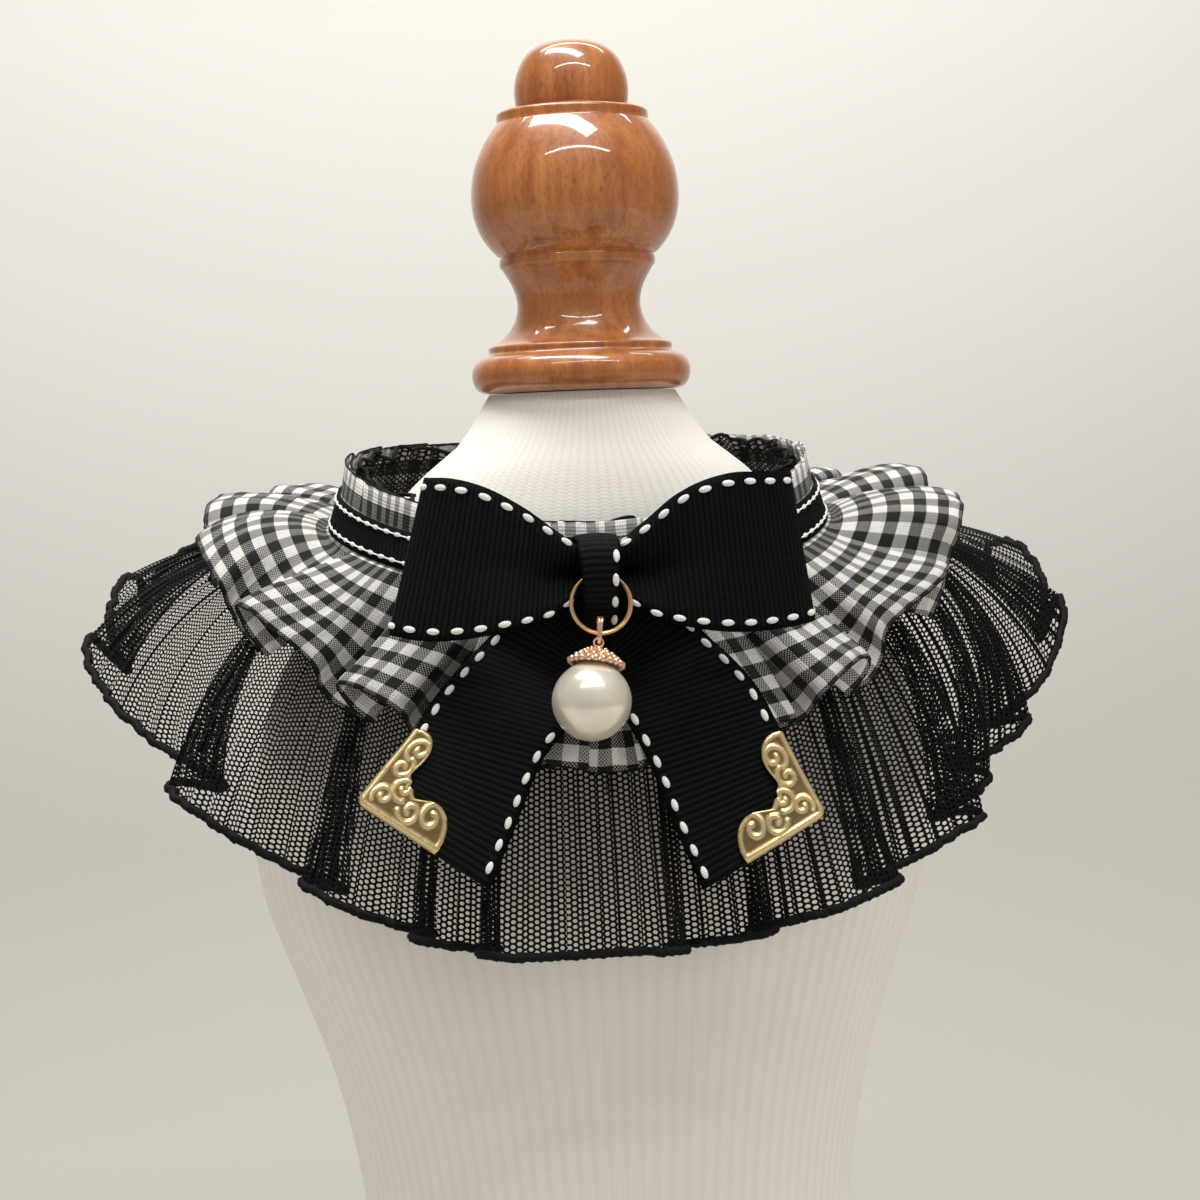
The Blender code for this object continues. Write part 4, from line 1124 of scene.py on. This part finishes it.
def make_plate(name, table):
    """Thin embossed gold plate over a tail's outer lower corner."""
    end = tail_surface(table, 1.0, np.array([0.0, 1.0]))
    width = np.linalg.norm(end[1] - end[0])
    side_run = tail_surface(table, np.array([0.75, 1.0]), 0.0)
    length = np.linalg.norm(side_run[1] - side_run[0]) / 0.25
    turn = np.linspace(0, 90, 121)
    reach = np.interp(turn, *np.array(PLATE_EDGE, float).T)
    reach = np.convolve(np.pad(reach, 2, mode="edge"), np.ones(5) / 5, "valid")
    share = np.linspace(0.0, 1.0, 70) ** 0.8
    along = share * (reach * np.cos(np.radians(turn)))[:, None]
    across = share * (reach * np.sin(np.radians(turn)))[:, None]
    spots = np.stack([along, across], -1)[:, :, None, :]
    near = np.min([np.linalg.norm(spots - scroll, axis=-1).min(-1) for scroll in scrolls()], axis=0)
    border = np.minimum(along, across)
    inner = (1 - share) * reach[:, None]
    relief = np.max([bell(near / 0.52), 0.9 * bell((border - 0.75) / 0.55),
                     0.75 * bell((inner - 0.7) / 0.45)], axis=0)
    from_round = np.stack([PLATE_CORNER - along, PLATE_CORNER - across], -1)
    squeeze = np.where((from_round > 0).all(-1),
                       from_round.max(-1) / np.maximum(np.linalg.norm(from_round, axis=-1), 1e-9), 1.0)
    along, across = (PLATE_CORNER - from_round[..., k] * squeeze for k in (0, 1))
    a, c = 1 - along / length, across / width
    base = tail_surface(table, a, c)
    step = 0.01
    face = facing(unit(np.cross(tail_surface(table, a - step, c) - base,
                                tail_surface(table, a, c + step) - base)), FORWARD)
    height = PLATE_LIFT + PLATE_RELIEF * relief - PLATE_FALL * bell(border / 0.45)
    mesh = grid_mesh(f"corner_plate_{name}_embossed", base + face * height[..., None])
    note(mesh, "relief", relief.ravel())
    wall(place(mesh, "gold", replaces=f"corner_plate_{name}"), PLATE_WALL)


# ---------------------------------------------------------------- pearl drop
def make_ring():
    """Two turns of wire, thinner where they run through the knot."""
    turn = np.linspace(0, 4 * np.pi, 150)
    shift = RING_SHIFT * np.tanh((turn - 2 * np.pi) * 2.2)
    inside = np.clip(np.cos(turn), 0.0, 1.0)
    radius = (RING_RADIUS + 0.3 * shift * (1 - inside))[:, None]
    coil = (RING_CENTRE + np.outer(shift, RING_FRONT)
            + radius * (np.outer(-np.sin(turn), RING_SIDE) - np.outer(np.cos(turn), RING_DOWN)))
    wire = RING_WIRE - 0.07 * inside
    mesh = tube_mesh("split_ring_coil", [coil], wire, 12, reference=RING_FRONT)
    place(mesh, "ring_gold", "ring", "split_ring")


def make_bail():
    """Two long wire loops side by side, closer together at the foot, where the eye hangs."""
    sideways = unit(np.cross(BAIL_DOWN, RING_FRONT))
    turn = np.linspace(0, 2 * np.pi, 64, endpoint=False) + np.pi / 64
    middle, half = (BAIL_TOP + BAIL_FOOT) / 2, (BAIL_FOOT - BAIL_TOP) / 2
    down = middle + half * np.sign(np.cos(turn)) + BAIL_ROUND * np.cos(turn)
    pinch = BAIL_APART * np.interp(np.cos(turn), (-0.6, 0.0), (1.0, 0.3))
    loops = [RING_CENTRE + np.outer(down, BAIL_DOWN) + np.outer(BAIL_ROUND * np.sin(turn), RING_FRONT)
             + np.outer(side * pinch, sideways) for side in (-1, 1)]
    mesh = tube_mesh("bail_loop", loops, BAIL_WIRE, 10, closed=True, reference=sideways)
    place(mesh, "rose_gold", "link", "bail")


def make_drop():
    """Eye, bead cap and pearl, on one line that hangs from the bail."""
    hang = unit(DROP_DIRECTION)
    eye = RING_CENTRE + BAIL_DOWN * BAIL_FOOT + hang * BAIL_ROUND
    across = unit(np.cross(hang, RING_FRONT))
    turn = np.linspace(0, 2 * np.pi, 40, endpoint=False)
    circle = eye + EYE_RADIUS * (np.outer(np.sin(turn), across) + np.outer(np.cos(turn), hang))
    mesh = tube_mesh("eye_loop", [circle], EYE_WIRE, 10, closed=True,
                     reference=np.cross(hang, across))
    place(mesh, "rose_gold", "drop", "eye_pin")

    pearl = eye + hang * PEARL_DROP
    up = -hang
    right = unit(np.cross(up, (0.0, 1.0, 0.0)))
    rotation = np.stack([right, np.cross(up, right), up], -1)
    matrix = Matrix([[*row, middle * MM] for row, middle in zip(rotation, pearl)] + [[0, 0, 0, 1]])

    def on_cap(radius, height, angle):
        return pearl + xyz(radius * np.cos(angle), radius * np.sin(angle), height) @ rotation.T

    def cap_piece(mesh, replaces=None):
        place(mesh, "rose_gold", "drop", replaces)

    mesh = new_mesh("bead_cap_shell", *turned(CAP_SHELL, 48))
    mesh.transform(matrix)
    cap_piece(mesh, "bead_cap")

    points, *faces = turned(ball_profile(1.0, 7), 9)
    grains = [on_cap(radius, height, 2 * np.pi * (n + 0.5 * (count % 2)) / count) + points * size
              for count, radius, height, size in CAP_GRAINS for n in range(count)]
    cap_piece(new_mesh("bead_cap_grains", np.vstack(grains),
                       *(copied(f, len(points), len(grains)) for f in faces)))

    t = np.linspace(0, 1, 14)
    bend = 0.55 * np.sin(t * np.pi)
    wires = [on_cap(5.7 - 4.6 * t, 10.05 + 2.55 * t, 2 * np.pi * n / CAP_WIRES + bend)
             for n in range(CAP_WIRES)]
    cap_piece(tube_mesh("bead_cap_wires", wires, CAP_WIRE, 6))

    t = np.linspace(0, 1, 7)
    neck = pearl + np.outer(12.2 + 1.3 * t, up)
    cap_piece(tube_mesh("bead_cap_neck", [neck], 0.75 - 0.35 * t, 14, reference=right))

    mesh = new_mesh("pearl_bead", *turned(ball_profile(PEARL_RADIUS, 49), 72))
    mesh.transform(matrix)
    place(mesh, "pearl", "drop", "pearl")


# ---------------------------------------------------------------- dress form
def make_form():
    heights = np.concatenate([[0.0, 0.6, 1.6], np.linspace(3, FORM_TOP, 96)])
    sides = 160
    around = np.linspace(-np.pi, np.pi, sides + 1)
    wide, deep, middle = (smooth_between(heights, FORM[:, 0], FORM[:, k])[:, None] for k in (1, 2, 3))
    rows = xyz(wide * np.sin(around), middle - deep * np.cos(around), heights[:, None])
    count, width = rows.shape[:2]
    points = np.vstack([rows.reshape(-1, 3), [(0, 0, 0), (0, 0, FORM_TOP)]])
    tips = count * width
    j = np.arange(sides)
    caps = np.vstack([np.stack([j + 1, j, 0 * j + tips], -1),
                      np.stack([j, j + 1, 0 * j + 1 + width], -1) + tips - width])
    mesh = new_mesh("form_cover", points, grid_quads(count, width), caps)
    wales = np.append(np.tile(around / (2 * np.pi) * WALES, count), (0.0, 0.0))
    note(mesh, "flat", xyz(wales, points[:, 2], 0.0))
    place(mesh, "knit_cover", replaces="dress_form")

    profile = np.array(NECK_CAP, float)
    profile = np.vstack([profile[:1], through(profile[1:-1], 3), profile[-1:]])
    mesh = new_mesh("neck_cap_turned", *turned(profile, 96))
    mesh.transform(Matrix.Translation((0, 0, CAP_BOTTOM * MM)))
    place(mesh, "varnished_wood", replaces="neck_cap")


# ---------------------------------------------------------------- stage
def in_scene(name, data):
    made = bpy.data.objects.new(name, data)
    bpy.context.scene.collection.objects.link(made)
    return made


def make_camera():
    data = bpy.data.cameras.new("camera")
    data.sensor_width = 36.0
    data.lens = CAMERA_LENS
    level = np.array([np.sin(CAMERA_YAW), np.cos(CAMERA_YAW), 0.0])
    right = np.array([np.cos(CAMERA_YAW), -np.sin(CAMERA_YAW), 0.0])
    ahead = level * np.cos(CAMERA_PITCH) + UP * np.sin(CAMERA_PITCH)
    up = np.cross(right, ahead)
    rolled_right = right * np.cos(CAMERA_ROLL) - up * np.sin(CAMERA_ROLL)
    rolled_up = up * np.cos(CAMERA_ROLL) + right * np.sin(CAMERA_ROLL)
    made = in_scene("camera", data)
    made.matrix_world = Matrix([*zip(rolled_right, rolled_up, -ahead, CAMERA_PLACE), (0, 0, 0, 1)])
    bpy.context.scene.camera = made


def make_stage():
    """Pale sweep: a floor that turns up into a backdrop."""
    t = np.linspace(0.1, np.pi / 2, 14)
    back = SWEEP_BEND + SWEEP_RADIUS * np.append(np.sin(t), 1.0)
    run = np.concatenate([np.linspace(SWEEP_FRONT, SWEEP_BEND, 8), back])[:, None]
    rise = np.concatenate([np.zeros(8), SWEEP_RADIUS * (1 - np.cos(t)), [SWEEP_TOP]])[:, None]
    mesh = grid_mesh("studio_sweep", xyz(np.linspace(-SWEEP_SIDE, SWEEP_SIDE, 5), run, rise))
    look = Look("studio_paper", (0.60, 0.58, 0.54), 0.9, Specular_IOR_Level=0.1)
    height, = look.parts(look.place(), 2)
    # painted shade: the paper is coloured darker toward the floor and paler up the backdrop, in place
    # of the fall-off of the light
    look.colour(look.mix(look.spread(height, 0.0, 0.8), (0.42, 0.405, 0.375), (0.74, 0.725, 0.69)))
    mesh.materials.append(LOOKS["studio_paper"])
    in_scene("studio_sweep", mesh)


def make_lights():
    for name, spot, target, size, power, colour, mirrored in LIGHTS:
        data = bpy.data.lights.new(name, "AREA")
        data.shape = "RECTANGLE"
        data.size, data.size_y = size
        data.energy = power
        data.color = colour
        made = in_scene(name, data)
        made.location = spot
        made.rotation_euler = (Vector(target) - Vector(spot)).to_track_quat("-Z", "Y").to_euler()
        made.visible_glossy = mirrored
    world = bpy.data.worlds.new("studio")
    world.use_nodes = True
    background = world.node_tree.nodes["Background"].inputs
    background["Color"].default_value = (1.0, 0.985, 0.955, 1.0)
    background["Strength"].default_value = 0.18
    bpy.context.scene.world = world


def main():
    make_camera()
    make_stage()
    make_lights()
    make_looks()
    make_form()
    make_net()
    make_net_header()
    make_gingham()
    make_band()
    make_loop("left", -1, LOOP_LEFT)
    make_loop("right", 1, LOOP_RIGHT)
    for name, table in (("left", TAIL_LEFT), ("right", TAIL_RIGHT)):
        make_tail(name, table)
        make_plate(name, table)
    make_knot()
    make_ring()
    make_bail()
    make_drop()
    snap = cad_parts["snap"]
    snap.data.materials.clear()
    snap.data.materials.append(LOOKS["dark_metal"])
    bpy.context.scene.view_settings.view_transform = "Standard"


main()
